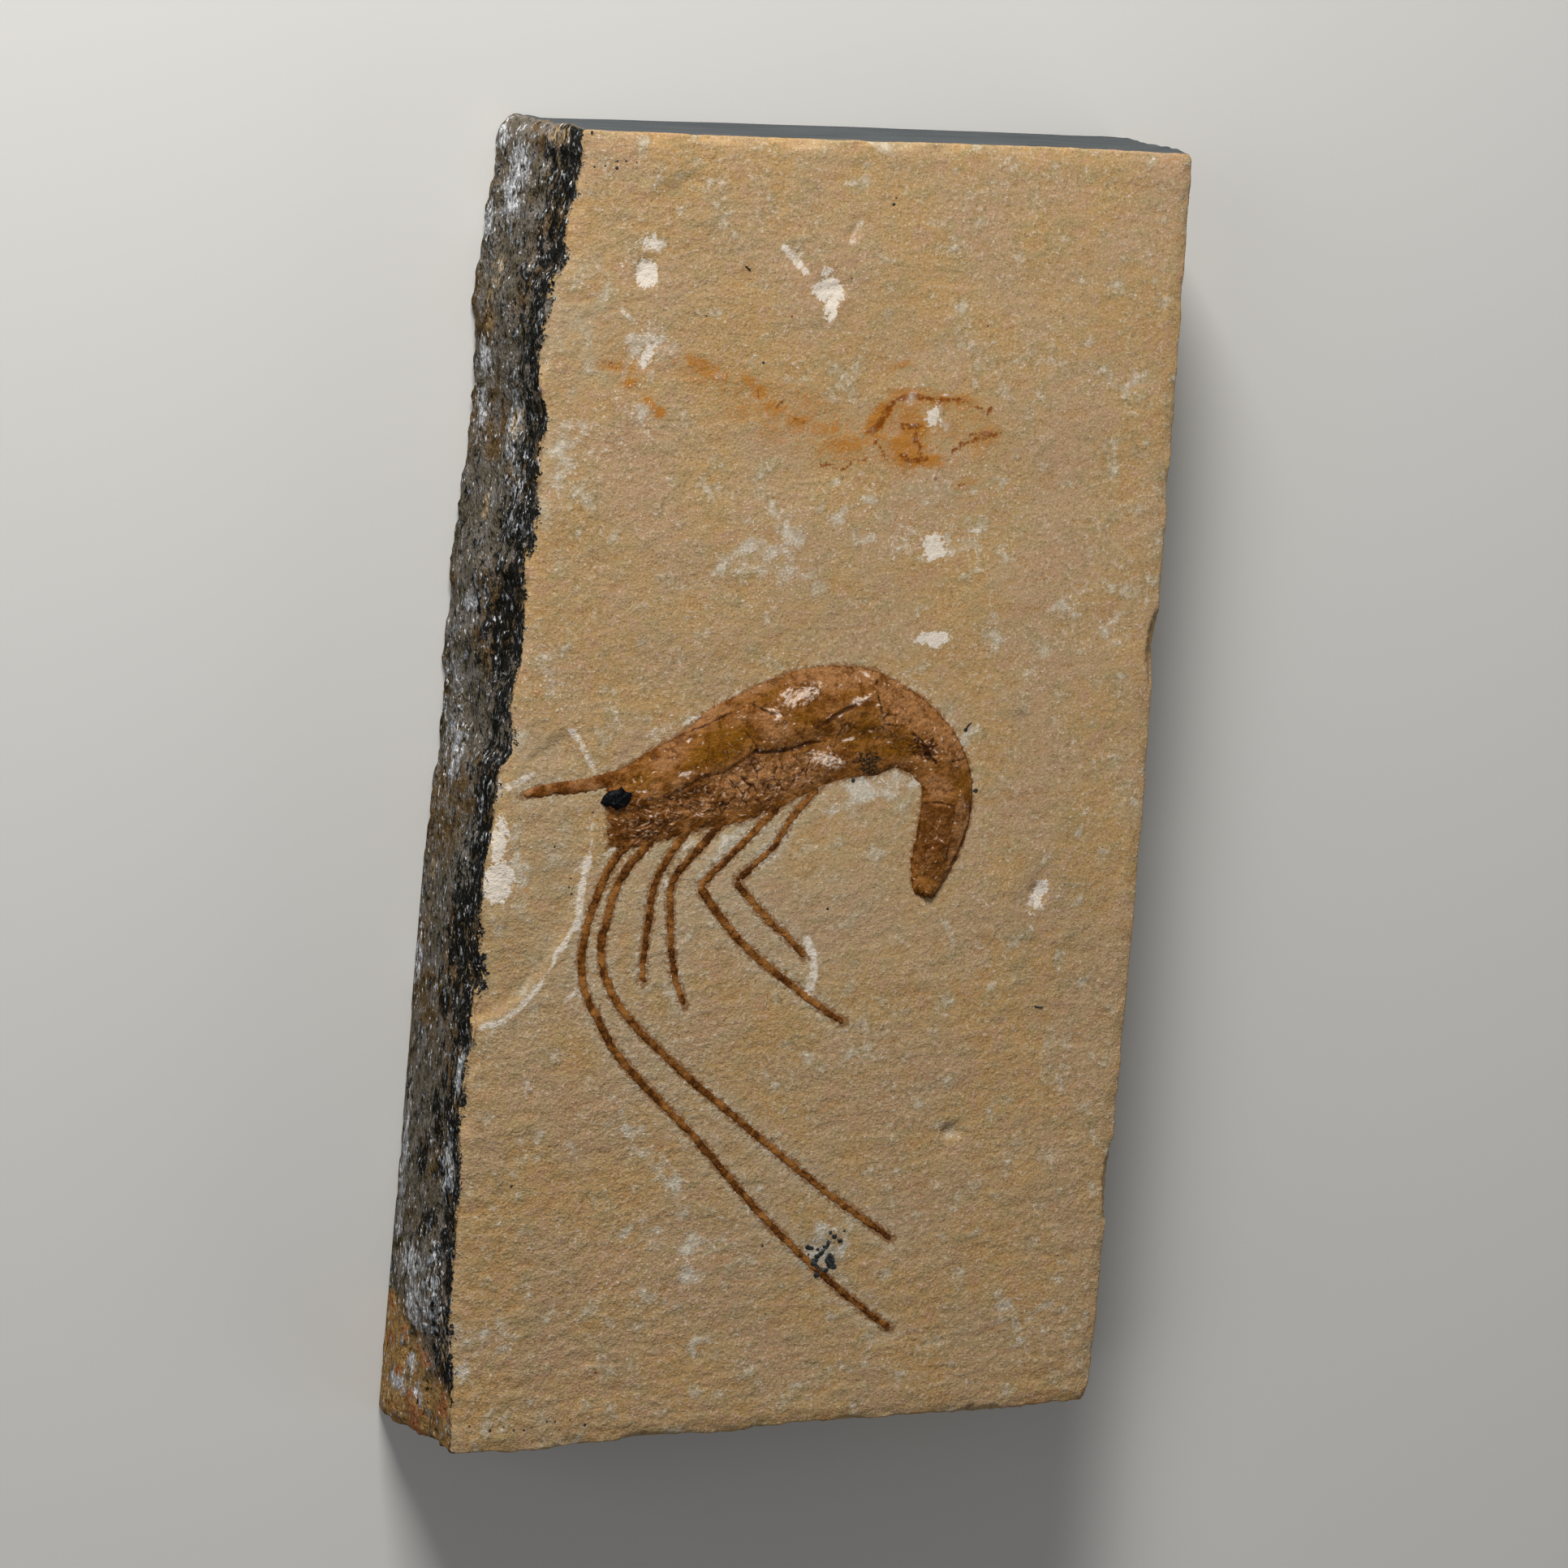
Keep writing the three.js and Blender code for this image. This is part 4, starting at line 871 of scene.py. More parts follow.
def faceColour(tree, clouds):
    # Tan stone: broad warm and olive clouds, cross bands, pale and dark grains, then the marks.
    # Returns the colour and the mask of chalky places.
    broad, bands, middle, small, fine = (clouds[k] for k in ("Broad", "Bands", "Middle", "Small", "Fine"))
    both, between = plus(middle, small), less(small, middle)
    grains = timesPlus(fine, .65, times(small, .35))
    colour = tint(stone["tan"], stone,
                  (broad, .38, .64, 1.0, "warm"), (timesPlus(broad, -.7, middle), .12, .34, .6, "pinkish"),
                  (bands, .5, .68, .55, "olive"), (bands, .47, .32, .45, "rusty"),
                  (between, .02, .2, .55, "pinkish"), (between, -.02, -.2, .6, "olive"),
                  (both, 1.08, 1.4, .6, "light"), (grains, .53, .66, .7, "light"),
                  (grains, .45, .34, .5, "dark"))

    bruises, stains, near = (threeOf(tree, name) for name in ("bruises", "stains", "nearFossil"))
    pale = times(bruises[2], ramp(middle, .36, .62, .3, 1.0))
    # Grey smudges in the stone, partly painted shade where a scar's slope would be shaded.
    shadeAndSmudge = times(stains[2], ramp(both, .8, 1.15))
    spread = ramp(timesPlus(stains[1], .45, timesPlus(both, .9, -.4)), .5, 1.0)
    spread = times(times(spread, ramp(stains[1], .02, .3)), .85)
    line = times(ragged(less(stains[0], .03), small, 1.0, .12), ramp(small, .36, .5, .4, .9))

    # The scraped, paler stone round the limbs and the body, and a thin torn edge that the film stains.
    torn, tornFine = less(middle, .5), less(small, .5)
    limbHalo = ramp(timesPlus(torn, 6.0, near[1]), 2.2, .2)
    bodyHalo = ramp(timesPlus(torn, -6.0, near[0]), -1.1, .4, 0.0, .5)
    halo = times(larger(limbHalo, bodyHalo), ramp(both, .9, 1.12, .2, .9))
    soaked = larger(ramp(timesPlus(tornFine, 1.4, near[1]), .66, .42),
                    ramp(timesPlus(tornFine, -1.4, near[0]), -.22, .04))

    # Pale flecks, crowded where the face is scuffed, scratches, and solid chalky bruises.
    crowded = larger(bruises[1], times(halo, .35))
    haze = ramp(timesPlus(crowded, .3, middle), .6, .88, 0.0, .65)
    flecks = timesPlus(haze, .08, timesPlus(small, .45, times(fine, .55)))
    flecks = ramp(timesPlus(crowded, .06, flecks), .59, .7)
    flecks = times(times(flecks, ramp(plus(middle, crowded), .4, .7, .3, 1.0)), .7)
    scratch = ragged(less(fieldOf(tree, "scratches")["Fac"], .09), middle, 1.1, .12)
    scratch = times(scratch, ramp(small, .34, .56, .3, .92))
    chalk = times(ragged(plus(bruises[0], .14), times(both, .5), 2.6, .08), ramp(small, .34, .48, .6, .97))
    colour = lay(colour, stone, (pale, "pale"), (shadeAndSmudge, "shadeAndSmudge"), (spread, "stain"), (line, "stainLine"),
                 (halo, "greyHalo"), (times(soaked, .7), "filmStain"), (haze, "frost"), (flecks, "chalk"),
                 (scratch, "chalk"), (chalk, "chalk"))
    return colour, larger(chalk, scratch)


def crustColour(tree, where, clouds):
    # Weathered side: brown, grey and olive clouds drawn out along the block, black growth near the face,
    # soft grey-white bloom and pale flecks. Returns the colour and the cloud that roughens it.
    pale, black, orange = threeOf(tree, "crustMarks")
    middle, down = clouds["Middle"], threeOf(tree, "nearFossil")[2]
    long = stretch(where, (1.0, .55, 1.0))
    rough, flaky = cloud(long, .8, 3.0, .8), cloud(long, 2.0, 2.0, .78)
    colour = tint(stone["crust"], stone, (clouds["Broad"], .42, .58, 1.0, "crustBrown"),
                  (middle, .42, .7, .85, "crustGrey"), (middle, .46, .3, .8, "crustOlive"))
    blackness = larger(times(black, .95), ramp(down, 9.0, 1.5, 0.0, .85))
    black = times(ramp(timesPlus(blackness, .17, rough), .53, .63), .93)
    tan = ragged(less(fieldOf(tree, "crustTan")["Fac"], .5), flaky, 1.3, .12)
    tan = times(tan, ramp(rough, .6, .4, .1, .85))
    colour = lay(colour, stone, (black, "crustBlack"), (tan, "broken"))
    warm = tint(stone["crustOrange"], stone, (middle, .5, .66, 1.0, "rust"),
                (rough, .5, .64, 1.0, "crustBrown"))
    colour = mix(ragged(less(orange, .45), middle, 1.1, .2), colour, warm)
    bloom = ramp(timesPlus(pale, .17, times(plus(rough, flaky), .5)), .54, .67, 0.0, .75)
    flecks = times(ramp(timesPlus(pale, .12, flaky), .63, .70), .85)
    pits = ramp(timesPlus(rough, .5, flaky), .66, .56, 0.0, .85)
    return lay(colour, stone, (bloom, "crustBloom"), (flecks, "crustPale"), (pits, "crustBlack")), rough


def grainHeight(where, clouds):
    # The stone's grain, up to twice as rough towards the bottom and the left of the block.
    x, y, _ = put("SeparateXYZ", {0: where}).outputs
    return times(clouds["Height"], plus(ramp(y, 15, -35, 1.0, 1.9), ramp(x, 5, -20, 0.0, .4)))


def makeFaceMaterial():
    # The face, a little rougher where it is chalky.
    material, tree, shader = startMaterial("splitFace")
    where, clouds = startClouds(tree)
    colour, chalk = faceColour(tree, clouds)
    finish(shader, colour, ramp(chalk, 0.0, 1.0, .82, .95), bump(grainHeight(where, clouds), stone["bump"]))
    return material


def brokenColour(where, clouds):
    # Broken stone: dark bedding lines in tan, with rusty, pale and dark grains.
    middle, small, fine = (clouds[k] for k in ("Middle", "Small", "Fine"))
    bedding = cloud(stretch(where, (.3, .3, 1.0)), .8, 2.0, .75)
    return tint(stone["broken"], stone, (clouds["Broad"], .4, .62, 1.0, "olive"),
                (bedding, .46, .66, .45, "brokenDark"), (middle, .5, .68, .6, "rusty"),
                (small, .5, .68, .6, "light"), (small, .47, .3, .6, "dark"), (fine, .56, .7, .6, "frost"))


def makeSideMaterial():
    # The sides and the rim: bedded tan stone, a sawn end darkened by painted shade, crust that climbs over
    # the left rim in torn tongues, and a line of painted shade along the bottom rim.
    material, tree, shader = startMaterial("limestoneSides")
    where, clouds = startClouds(tree)
    broad, middle, small = (clouds[k] for k in ("Broad", "Middle", "Small"))
    colour, _ = faceColour(tree, clouds)
    crust, crusty = crustColour(tree, where, clouds)
    toLeft, toBottom, _ = threeOf(tree, "runs")
    _, bottomShare, topShare = threeOf(tree, "sides")
    down, torn = threeOf(tree, "nearFossil")[2], less(middle, .5)
    onBottom = ramp(bottomShare, .3, .6)
    below = times(ramp(down, .02, .2), ramp(timesPlus(torn, 2.0, down), .1, .8))
    colour = mix(below, colour, brokenColour(where, clouds))

    # Sawn end: grey, darkened and cooled to blue-grey by painted shade, with faint saw lines.
    sawLines = ramp(cloud(stretch(where, (.06, 1.0, 2.6)), 1.2, 2.0, .7), .4, .6, .84, 1.18)
    sawn = put("VectorMath", {0: stone["sawn"][:3], "Scale": sawLines}, operation="SCALE").outputs[0]
    onTop = times(ramp(timesPlus(torn, .5, topShare), .5, .6), ramp(timesPlus(torn, .5, down), .12, .3))
    colour = mix(onTop, colour, sawn)

    # Crust over the left rim, and over the left part of the bottom side.
    leftEdge = ragged(times(toLeft, -1.0), times(plus(middle, small), .5), 4.4, .06)
    leftEdge = times(leftEdge, less(1.0, onTop))
    fromRight = timesPlus(put("SeparateXYZ", {0: where}).outputs[0], -.4, 3.0)
    fromRight = timesPlus(less(broad, .5), 30.0, fromRight)
    lowField = calc("MINIMUM", timesPlus(broad, 9.0, less(times(toBottom, -1.0), 5.0)), fromRight)
    lowEdge = times(times(ragged(lowField, middle, 5.0, .3), onBottom), ramp(down, .15, .5))
    notUnder = less(1.0, fieldOf(tree, "underside")["Fac"])
    crustShare = times(larger(leftEdge, lowEdge), notUnder)
    colour = mix(crustShare, colour, crust)
    # A dark green line along the bottom rim: painted shade under the rim's chips.
    rimLine = calc("ABSOLUTE", plus(toBottom, timesPlus(torn, 4.0, .9)))
    paintedRimShade = times(times(ramp(rimLine, .9, .2), ramp(down, .1, .5)), ramp(middle, .44, .58, .2, .95))
    colour = mix(times(times(paintedRimShade, onBottom), notUnder), colour, stone["green"])

    overCrust = times(ramp(toLeft, .3, -.5, 0.0, 9.0), ramp(topShare, .4, .1))
    height = timesPlus(crusty, overCrust, grainHeight(where, clouds))
    finish(shader, colour, ramp(crustShare, 0.0, 1.0, .82, .8), bump(height, stone["bump"]))
    return material


slab = makePiece("limestoneSlab", blockPoints, blockQuads, blockFields, blockFan)
finishPiece(slab, "limestone_slab", makeFaceMaterial())
slab.data.materials.append(makeSideMaterial())
apart = nearRim(blockPoints, known["depth"], known["runs"])
onSides = np.concatenate([apart[corners].any(axis=1) for corners in (blockQuads, blockFan)])
slab.data.polygons.foreach_set("material_index", onSides.astype(np.int32))
print("slab made:", len(slab.data.polygons), "faces")


body = {
    "cells": (560, 140),  # mesh along and across
    "margin": -.02, "brow": .36, "crown": .84, "tail": .54,  # heights above the face
    "foot": .12, "sole": .3,  # how far the edge and the flat sole sink into the stone
    "crownShape": (2.4, 1.1), "ridge": (.66, .3, .55),  # the back stands higher than the belly
    "frontEnds": .14, "tailStarts": .55,  # shares of the length where the brow ends and the tail starts
    "furrow": (.2, .42, .09, .5, .68),  # depth, place and width across, and where it runs out
    "rings": [3.5, 4.75, 5.5, 6.6, 8, 8.8, 10.2, 12], "ringStep": .12,
    "seamDepth": .7, "creaseDepth": .09,  # the seams' share of their own depths, and the creases' depth
    "roughness": (.03, .19),  # height of the lumps where the film is tight and where it is loose
    # waves: height, lengths across and along, octaves, seed and layer
    "frayed": (.12, (1 / 1.3, 1 / 1.3), 4, 87), "tailFray": (.5, (.45, .45), 2, 89, 3),
    "headFray": (.6, (.7, .7), 2, 88),
    "ringBend": (.22, (1.5, 1.5), 1, 81), "seamPatches": (.8, (.9, .9), 3, 82, 2),
    "looseness": (1, (1.3, 1.0), 3, 85, 3), "pitting": (.022, (.4, .4), 2, 86, 5),
    "patchy": (1, (1.3, 1.0), 4, 91, 7), "fine": (1, (.35, .35), 2, 95, 8), "bends": (98, 99),
    "creases": [  # share, size, thinness, seed, and the shift of their lit sides, where highlights are painted
        (1, 2.6, 26, 83, .16, -.18), (.8, 1.6, 18, 93, .14, -.16)],
    "lines": [  # dark seams: half width, depth, points
        (.17, .07, [(-12.6, .4), (-10.5, 1), (-9, 2), (-7.7, 3)]),
        (.14, .05, [(-16, -1.4), (-14.2, -.7), (-12.6, .4)]),
        (.2, .16, [(-7.7, 3), (-5.9, 3.1), (-4, 3.4), (-2.3, 4.1)]), (.15, .08, [(-2.3, 4.1), (-.8, 4.3)]),
        (.2, .15, [(-1.9, 5.5), (-1.3, 5.8), (.2, 7), (2.2, 8)]),
        (.12, .05, [(-4.4, 4.6), (-3, 5.1), (-1.9, 5.5)]), (.11, .08, [(-14, 4.5), (-12.8, 5), (-10.2, 6.4)]),
        (.09, .05, [(-10.2, 6.4), (-8.2, 7.4), (-6.6, 8.4)]),
        (.13, .1, [(-8.1, 7.2), (-6.4, 6.6), (-5, 6.5)]), (.12, .1, [(-8.9, 4.8), (-7.9, 3.8), (-7.5, 3.1)]),
        (.15, .09, [(3.8, 10.2), (3.8, 9.4), (4.5, 7.1)]),
        (.14, .14, [(7.6, 5.6), (8.9, 4.6), (9.8, 3.4), (10.4, 2.9)]),
        (.14, .14, [(9.8, 5.1), (9.3, 4), (9.6, 3.2)]), (.12, .1, [(8, 4.9), (9.4, 4.3), (10.3, 4.6)]),
        (.09, .09, [(12, 3.1), (13.2, 3.4), (14.4, 3.5)]), (.1, .1, [(9.6, -1), (11.1, -.8), (12.6, -1)]),
        (.08, .06, [(12.8, -1.9), (14.3, -1.9)]),
        (.14, .1, [(14.5, -1), (14.5, -2.7), (14, -4.3), (13.3, -6), (12.7, -7.3)]),
        (.12, .06, [(12.6, -1), (12.8, -3.1), (12.5, -5.2), (12.2, -7)]), (.1, .08, [(4.6, 7.2), (5.9, 7.1)]),
        (.1, .08, [(4.7, 6.3), (6, 6.1)]), (.09, .05, [(8.9, 1.4), (9.7, -.4)]),
        (.12, .08, [(9.6, -1.2), (9.5, -3.4), (9.4, -5.4)]),
        (.09, .07, [(-11.6, -1.1), (-12.7, -2.7), (-13.9, -3.6)]),
        (.09, .08, [(-9.9, .4), (-9.1, -.7), (-9.7, -1.9)]),
        (.09, .09, [(-7.8, 2), (-7.1, .6), (-7.9, -.7), (-6.5, -1.8)]),
        (.09, .08, [(-5.3, 2.1), (-5.5, .6), (-4.4, -.5)]),
        (.09, .07, [(-3.8, 2.8), (-2.7, 1.7), (-3.6, .4), (-4.1, -.5)]),
        (.09, .07, [(-2.2, 2.6), (-2.4, 1.1), (-1.6, .3)]),
        (.1, .08, [(-14.1, -1.6), (-11.5, -2), (-9.1, -1.3)]),
        (.09, .07, [(-19.6, -2.4), (-17.1, -2.9), (-14.6, -3.1)]),
        (.1, .08, [(-18.8, -4.7), (-16.5, -5.2), (-15.5, -6.2)])],
    "crinkled": [  # loose, crumpled film: x, y, half width, half height, turn, strength
        (-17.5, -3.8, 3.6, 2.6, 0, 1), (-12.5, -1.6, 4.6, 2, 18, .95), (-7, .3, 4.2, 2.4, 28, .9),
        (-2.4, 1.6, 3.2, 1.5, 22, .8), (9.2, 4.2, 1.6, 1.4, 0, 1), (5, 6.4, 1.8, 1.5, 0, .65),
        (11.1, -4.5, 1.8, 4, 0, .45), (-6.4, 6.6, 1.9, 1.2, 20, .7), (-4, 8.4, 2.2, .9, 20, .5),
        (1.4, 6.2, 2.6, 1.3, 25, .4), (-18.6, -.4, 2.2, 1, 25, .3)],
    "pale": [  # glossy pale patches, pale film partly painted as reflection; the other tones' zones follow in the same form
        (-3.6, 8.4, 2.1, .8, 22, 1), (-14.2, .6, .9, .32, 15, .8), (-.5, 2.6, 2, .7, -6, 1),
        (1.5, 4.6, .7, .2, 10, .85), (2.2, 8.3, 1.2, .3, 22, 1), (2.7, 10.7, .8, .2, -25, .9),
        (-6.1, 6.6, .7, .5, -40, .75), (-14.1, 3.6, .5, .2, 20, .8), (.5, 6.9, .5, .2, 30, .6),
        (-1.7, 3.1, .7, .22, 0, .8), (-18.3, -1.2, .7, .13, 10, .7), (-12.5, -3.1, .5, .17, 10, .8),
        (-17, -3.5, .5, .5, 0, .55), (-5, 5.4, .8, .3, 40, .55), (-2.6, .6, .7, .25, -10, .6),
        (-8.6, -1.2, .6, .2, 20, .5), (5.6, 4.5, .5, .15, -10, .6), (10.2, 3.9, .2, .6, 15, .6),
        (6, 8.4, .4, .3, 0, .5), (13.9, -.9, .3, .5, 0, .5)],
    "pink": [(-16, 1.6, 1.9, .8, 30, .8), (-12.5, 5.8, 2.6, .55, 30, .9), (-15.4, 3.4, 1.6, .4, 30, .8),
        (-.2, 10.2, 5, 1.15, 5, 1), (6.9, 8.2, 3.6, 1.8, -33, 1), (11.8, 4.9, 2.8, 1.5, -55, 1),
        (-8, .4, 3.4, 1.7, 30, .95), (-4.2, 1, 3.6, 1.5, 22, 1), (-12.6, -1.9, 2.4, .9, 24, .7),
        (-15.1, -.4, 1.2, .6, 20, .7), (10.8, .6, 1.2, 1.4, 0, 1), (13.6, -2.4, .9, 2.2, 5, .95),
        (-5.8, 5, 1.6, 1.3, 20, .9), (-9.2, 5.9, 1.3, .5, 30, .6), (-2, .9, 2.2, .9, 20, .7),
        (13.1, -6.2, .6, 1.8, -15, .7), (-7.5, 9, 3, .7, 27, .8), (7.6, 2.6, 1.2, .9, 0, .5)],
    "amber": [(-11.3, 3.2, 3.5, 1.5, 31, 1), (-18.3, -.1, 1.8, .9, 28, .9), (-6.6, 8.2, 1.2, .8, 35, .85),
        (-3.4, 6.3, 1.5, 1.1, 0, .6), (3, 5.6, 2.8, 2, 0, .75), (6.6, 4.4, 2.4, 1.5, 0, .85),
        (13.3, 1.5, 1.2, 1.9, 0, .7), (1, 9, 1.6, .8, 10, .5), (10.8, -8.3, 1.3, 1.2, 0, .6)],
    "dark": [(-18, -4.4, 2.8, 2, 0, 1), (-13.4, -1.6, 2.8, 1.1, 22, .85), (-9.9, -1.8, 1.9, .7, 25, .6),
        (-.7, 8, .8, .6, 0, .8), (2.6, 5.6, 2.3, 1.5, 0, .5), (9.4, 4.1, 1.1, 1, 0, .9),
        (13.4, 1.4, 1.1, 1.6, 0, .4), (-1.6, 6, 1.2, .5, 25, .6), (5, 9.6, .5, .8, 0, .5),
        (-16.5, -2.6, 1.4, .8, 0, .6), (-6.4, -2.2, 1.4, .6, 25, .5), (5.2, 5.2, 1.4, 1, 0, .4),
        (12, 2.6, .8, .5, 0, .6)],
    "blade": [(9.7, -1), (12.7, -.9), (12.8, -3.1), (12.5, -5.4), (12.1, -7.2), (11.4, -8), (10.2, -8),
        (9.5, -5.6)],
    "mould": [  # the blackish green stain at the belly
        (4, 2.3, 1.1, 1.1, 0, 1), (2.6, 2.9, .7, .5, 0, .7)],
}


def bodyPlan(s, t):
    # The belly and back outlines share one count of points; t runs across from belly to back.
    belly, back = along(fossil["belly"], s, False), along(fossil["back"], s, False)
    return belly + (back - belly) * t[..., None]


def creases(x, y, size, thin, seed):
    # Winding lines where a noise passes through nought: 1 on the line, falling to 0 beside it.
    bend = .35 * layered(x / size * 1.7, y / size * 1.7, 4, 2, seed + 9)
    return 1 - np.clip(np.abs(noise(x / size + bend, y / size - bend, 0, seed)) * thin, 0, 1)


def crumples(x, y, shift):
    # The stronger of the two sets of creases, moved towards the light by a share of their shift; the moved
    # copy gives the lit sides where highlights are painted.
    return np.max([share * creases(x + shift * dx, y + shift * dy, size, thin, seed)
                   for share, size, thin, seed, dx, dy in body["creases"]], axis=0)


def bodyRelief(s, t, x, y):
    # A low crown across, stepped along by the overlapping rings, creased along the seams and crumpled
    # where the film is loose.
    place = (x, y)
    square, steep = body["crownShape"]
    crown = (1 - np.abs(2 * t - 1) ** square) ** steep
    low, *rise = body["ridge"]
    ridge = between(low, 1, fade(t, *rise))
    front = between(body["brow"], body["crown"], fade(s, 0, body["frontEnds"]))
    top = between(front, body["tail"], fade(s, body["tailStarts"], 1))
    pair = s * (len(fossil["back"]) - 1) + waves(place, *body["ringBend"]) + .5 * (t - .5) ** 2
    rings = np.array(body["rings"])
    ring = np.clip(np.searchsorted(rings, pair), 1, len(rings) - 1)
    within = np.clip((pair - rings[ring - 1]) / (rings[ring] - rings[ring - 1]), 0, 1)
    step = np.where((pair > rings[0]) & (pair < rings[-1]), (within - .5) * body["ringStep"], 0)
    deep, middle, wide, *runsOut = body["furrow"]
    furrow = deep * np.exp(-((t - middle) / wide) ** 2) * (1 - fade(s, *runsOut))
    height = body["margin"] + (top - body["margin"] + step) * crown * ridge - furrow * crown
    seams = np.zeros(x.shape)
    for half, depth, path in body["lines"]:
        seams = np.maximum(seams, depth * np.exp(-(fromLine(x, y, smoothLine(path, 4)) / half) ** 2))
    seams = seams * np.clip(.9 + waves(place, *body["seamPatches"]), .35, 1.4)
    loose = strongest(x, y, body["crinkled"], .8)
    crumple = crumples(x, y, 0) * loose
    # The creases moved towards the light, less the creases themselves: their lit sides, where a highlight is
    # painted.
    paintedLit = crumples(x, y, 1) * loose - crumple
    height = height - (body["seamDepth"] * seams + body["creaseDepth"] * crumple) * crown ** .5
    height += between(*body["roughness"], loose) * waves(place, *body["looseness"]) * crown ** .7
    height += waves(place, *body["pitting"])
    tips = fade(s, -.001, .02) * (1 - fade(s, .985, 1.001))
    return height * (.25 + .75 * tips), seams, crumple, np.clip(paintedLit, 0, 1), loose


def tornPlan(s, t):
    # The body's plan with its back, belly, tail and brow frayed.
    plan = bodyPlan(s, t)
    place = np.moveaxis(plan, -1, 0)
    side = plan[:, -1:] - plan[:, :1]
    side /= np.linalg.norm(side, axis=-1, keepdims=True)
    bellyMore = 1 + 1.4 * (1 - fade(s, .3, .5))
    pull = waves(place, *body["frayed"]) * (fade(t, .8, 1) - fade(1 - t, .8, 1) * bellyMore)
    tail = fade(s, .93, 1) * (np.cos((t - .5) * np.pi) * .3 + waves(place, *body["tailFray"]))
    brow = (1 - fade(s, 0, .04)) * waves(place, *body["headFray"])
    run = np.gradient(bodyPlan(s[:, 0], np.full(len(s), .5)), axis=0)
    run /= np.linalg.norm(run, axis=-1, keepdims=True)
    return plan + side * pull[..., None] + run[:, None] * (tail - brow)[..., None]


def bodyFilm(s, x, y, inside, seams, crumple, paintedLit, loose):
    # The film's tones at every point of the body, each spot torn at its border by noise.
    patchy, fine = waves((x, y), *body["patchy"]), waves((x, y), *body["fine"])
    bendX, bendY = (waves((x, y), .9, (2.2, 2.2), 2, seed, 1) for seed in body["bends"])
    streaky = waves((x + .4 * y + bendX, y - .4 * x + bendY), 1, (.9, .24), 2, 97, 9)
    wrinkled = waves((.87 * x + .5 * y + bendX, .87 * y - .5 * x + bendY), 1, (2.1, .8), 2, 94, 6)
    wrinkled = wrinkled + .25 * patchy
    zones = (strongest(x, y, body[k], .8) for k in ("pink", "amber", "dark"))
    pink, amber, dark = (fade(zone + .35 * patchy, .2, .8) for zone in zones)
    dark = np.maximum(dark, .85 * loose * fade(-wrinkled + .2 * fine, .1, .45)) * (1 - .55 * pink)
    pink = np.maximum(pink, 1.1 * loose * fade(wrinkled + .2 * fine, -.12, .25))
    blade = fade(inOutline(x, y, np.array(body["blade"])) + .5 * patchy + .25 * fine, -.3, .45)
    line = np.clip(seams / .09, 0, 1.3) + 1.6 * crumple * fade(crumple + .5 * patchy, .1, .6)
    # Pale glossy patches: pale film, partly a painted reflection of the light.
    pale = fade(strongest(x, y, body["pale"], .8) + .75 * streaky + .45 * fine, .5, 1.0)
    # Painted highlights: pale streaks where the film is loose, and the creases' lit sides.
    paintedGlint = .85 * fade(streaky + .6 * fine + .5 * (loose - .5), .5, .85)
    paintedGlint = paintedGlint + paintedLit * fade(fine + .8 * patchy, -.1, .45)
    mould = fade(strongest(x, y, body["mould"], .7) + .5 * patchy + .4 * fine, .35, .8)
    return {"tones": (pink, amber, np.maximum(dark, .9 * blade)), "patchesAndPaintedGlints": (pale, paintedGlint, mould),
            "strokes": (line, inside, s)}


def makeBody():
    # A relief over a grid, walls straight down from its border and a flat sole that joins each belly
    # point to its back point.
    rows, columns = (count + 1 for count in body["cells"])
    s, t = np.meshgrid(np.linspace(0, 1, rows), crowd(np.linspace(0, 1, columns)), indexing="ij")
    plan = tornPlan(s, t)
    x, y = np.moveaxis(plan, -1, 0)
    rim = np.minimum(np.minimum(t, 1 - t), np.minimum(s, 1 - s) * 3)
    relief, *film = bodyRelief(s, t, x, y)
    z = splitPlane + faceHeight(x, y) + relief - body["foot"] * (1 - fade(rim, 0, .02))
    top = np.dstack([plan, z]).reshape(-1, 3)
    ring = border(np.arange(x.size).reshape(x.shape).T)
    sole = top[ring] * (1, 1, 0) + (0, 0, splitPlane - body["sole"])
    lower = x.size + np.arange(len(ring))
    wall = np.column_stack([ring, np.roll(ring, -1), np.roll(lower, -1), lower])[:, ::-1]
    corner = rows + columns - 2
    belly, back = lower[:rows], lower[corner:corner + rows][::-1]
    sheet = np.column_stack([belly[:-1], back[:-1], back[1:], belly[1:]])
    head = [back[0], *lower[corner + rows:], belly[0]]
    tail = [belly[-1], *lower[rows:corner], back[-1]]
    fans = [(ids[0], ids[k + 1], ids[k]) for ids in (head, tail) for k in range(1, columns - 1)]
    width = np.linalg.norm(plan[:, -1:] - plan[:, :1], axis=-1)
    fields = bodyFilm(s, x, y, np.minimum(rim * width, 3), *film)
    fields = {name: [np.append(v, v.ravel()[ring]) for v in values] for name, values in fields.items()}
    quads = np.vstack([gridQuads(rows, columns)[:, ::-1], wall, sheet])
    return np.vstack([top, sole]), quads, fields, fans


film = {
    "brown": tone(125, 76, 21), "tawny": tone(148, 98, 48), "deep": tone(88, 48, 8),
    "pink": tone(160, 112, 68), "amber": tone(127, 81, 12), "seam": tone(64, 33, 8),
    # The glint tones are painted highlights; the pale tone is pale film that partly stands as a painted
    # reflection.
    "pale": tone(236, 210, 188), "paintedGlint": tone(214, 170, 132), "mould": tone(30, 32, 24),
    "limb": tone(106, 60, 10), "limbEdge": tone(62, 31, 3), "limbLight": tone(152, 100, 46),
    "rostrum": tone(116, 66, 16), "eye": tone(2, 4, 8), "eyePaintedGlint": tone(96, 92, 98),
    "bodyShine": .1, "shine": .12,
}


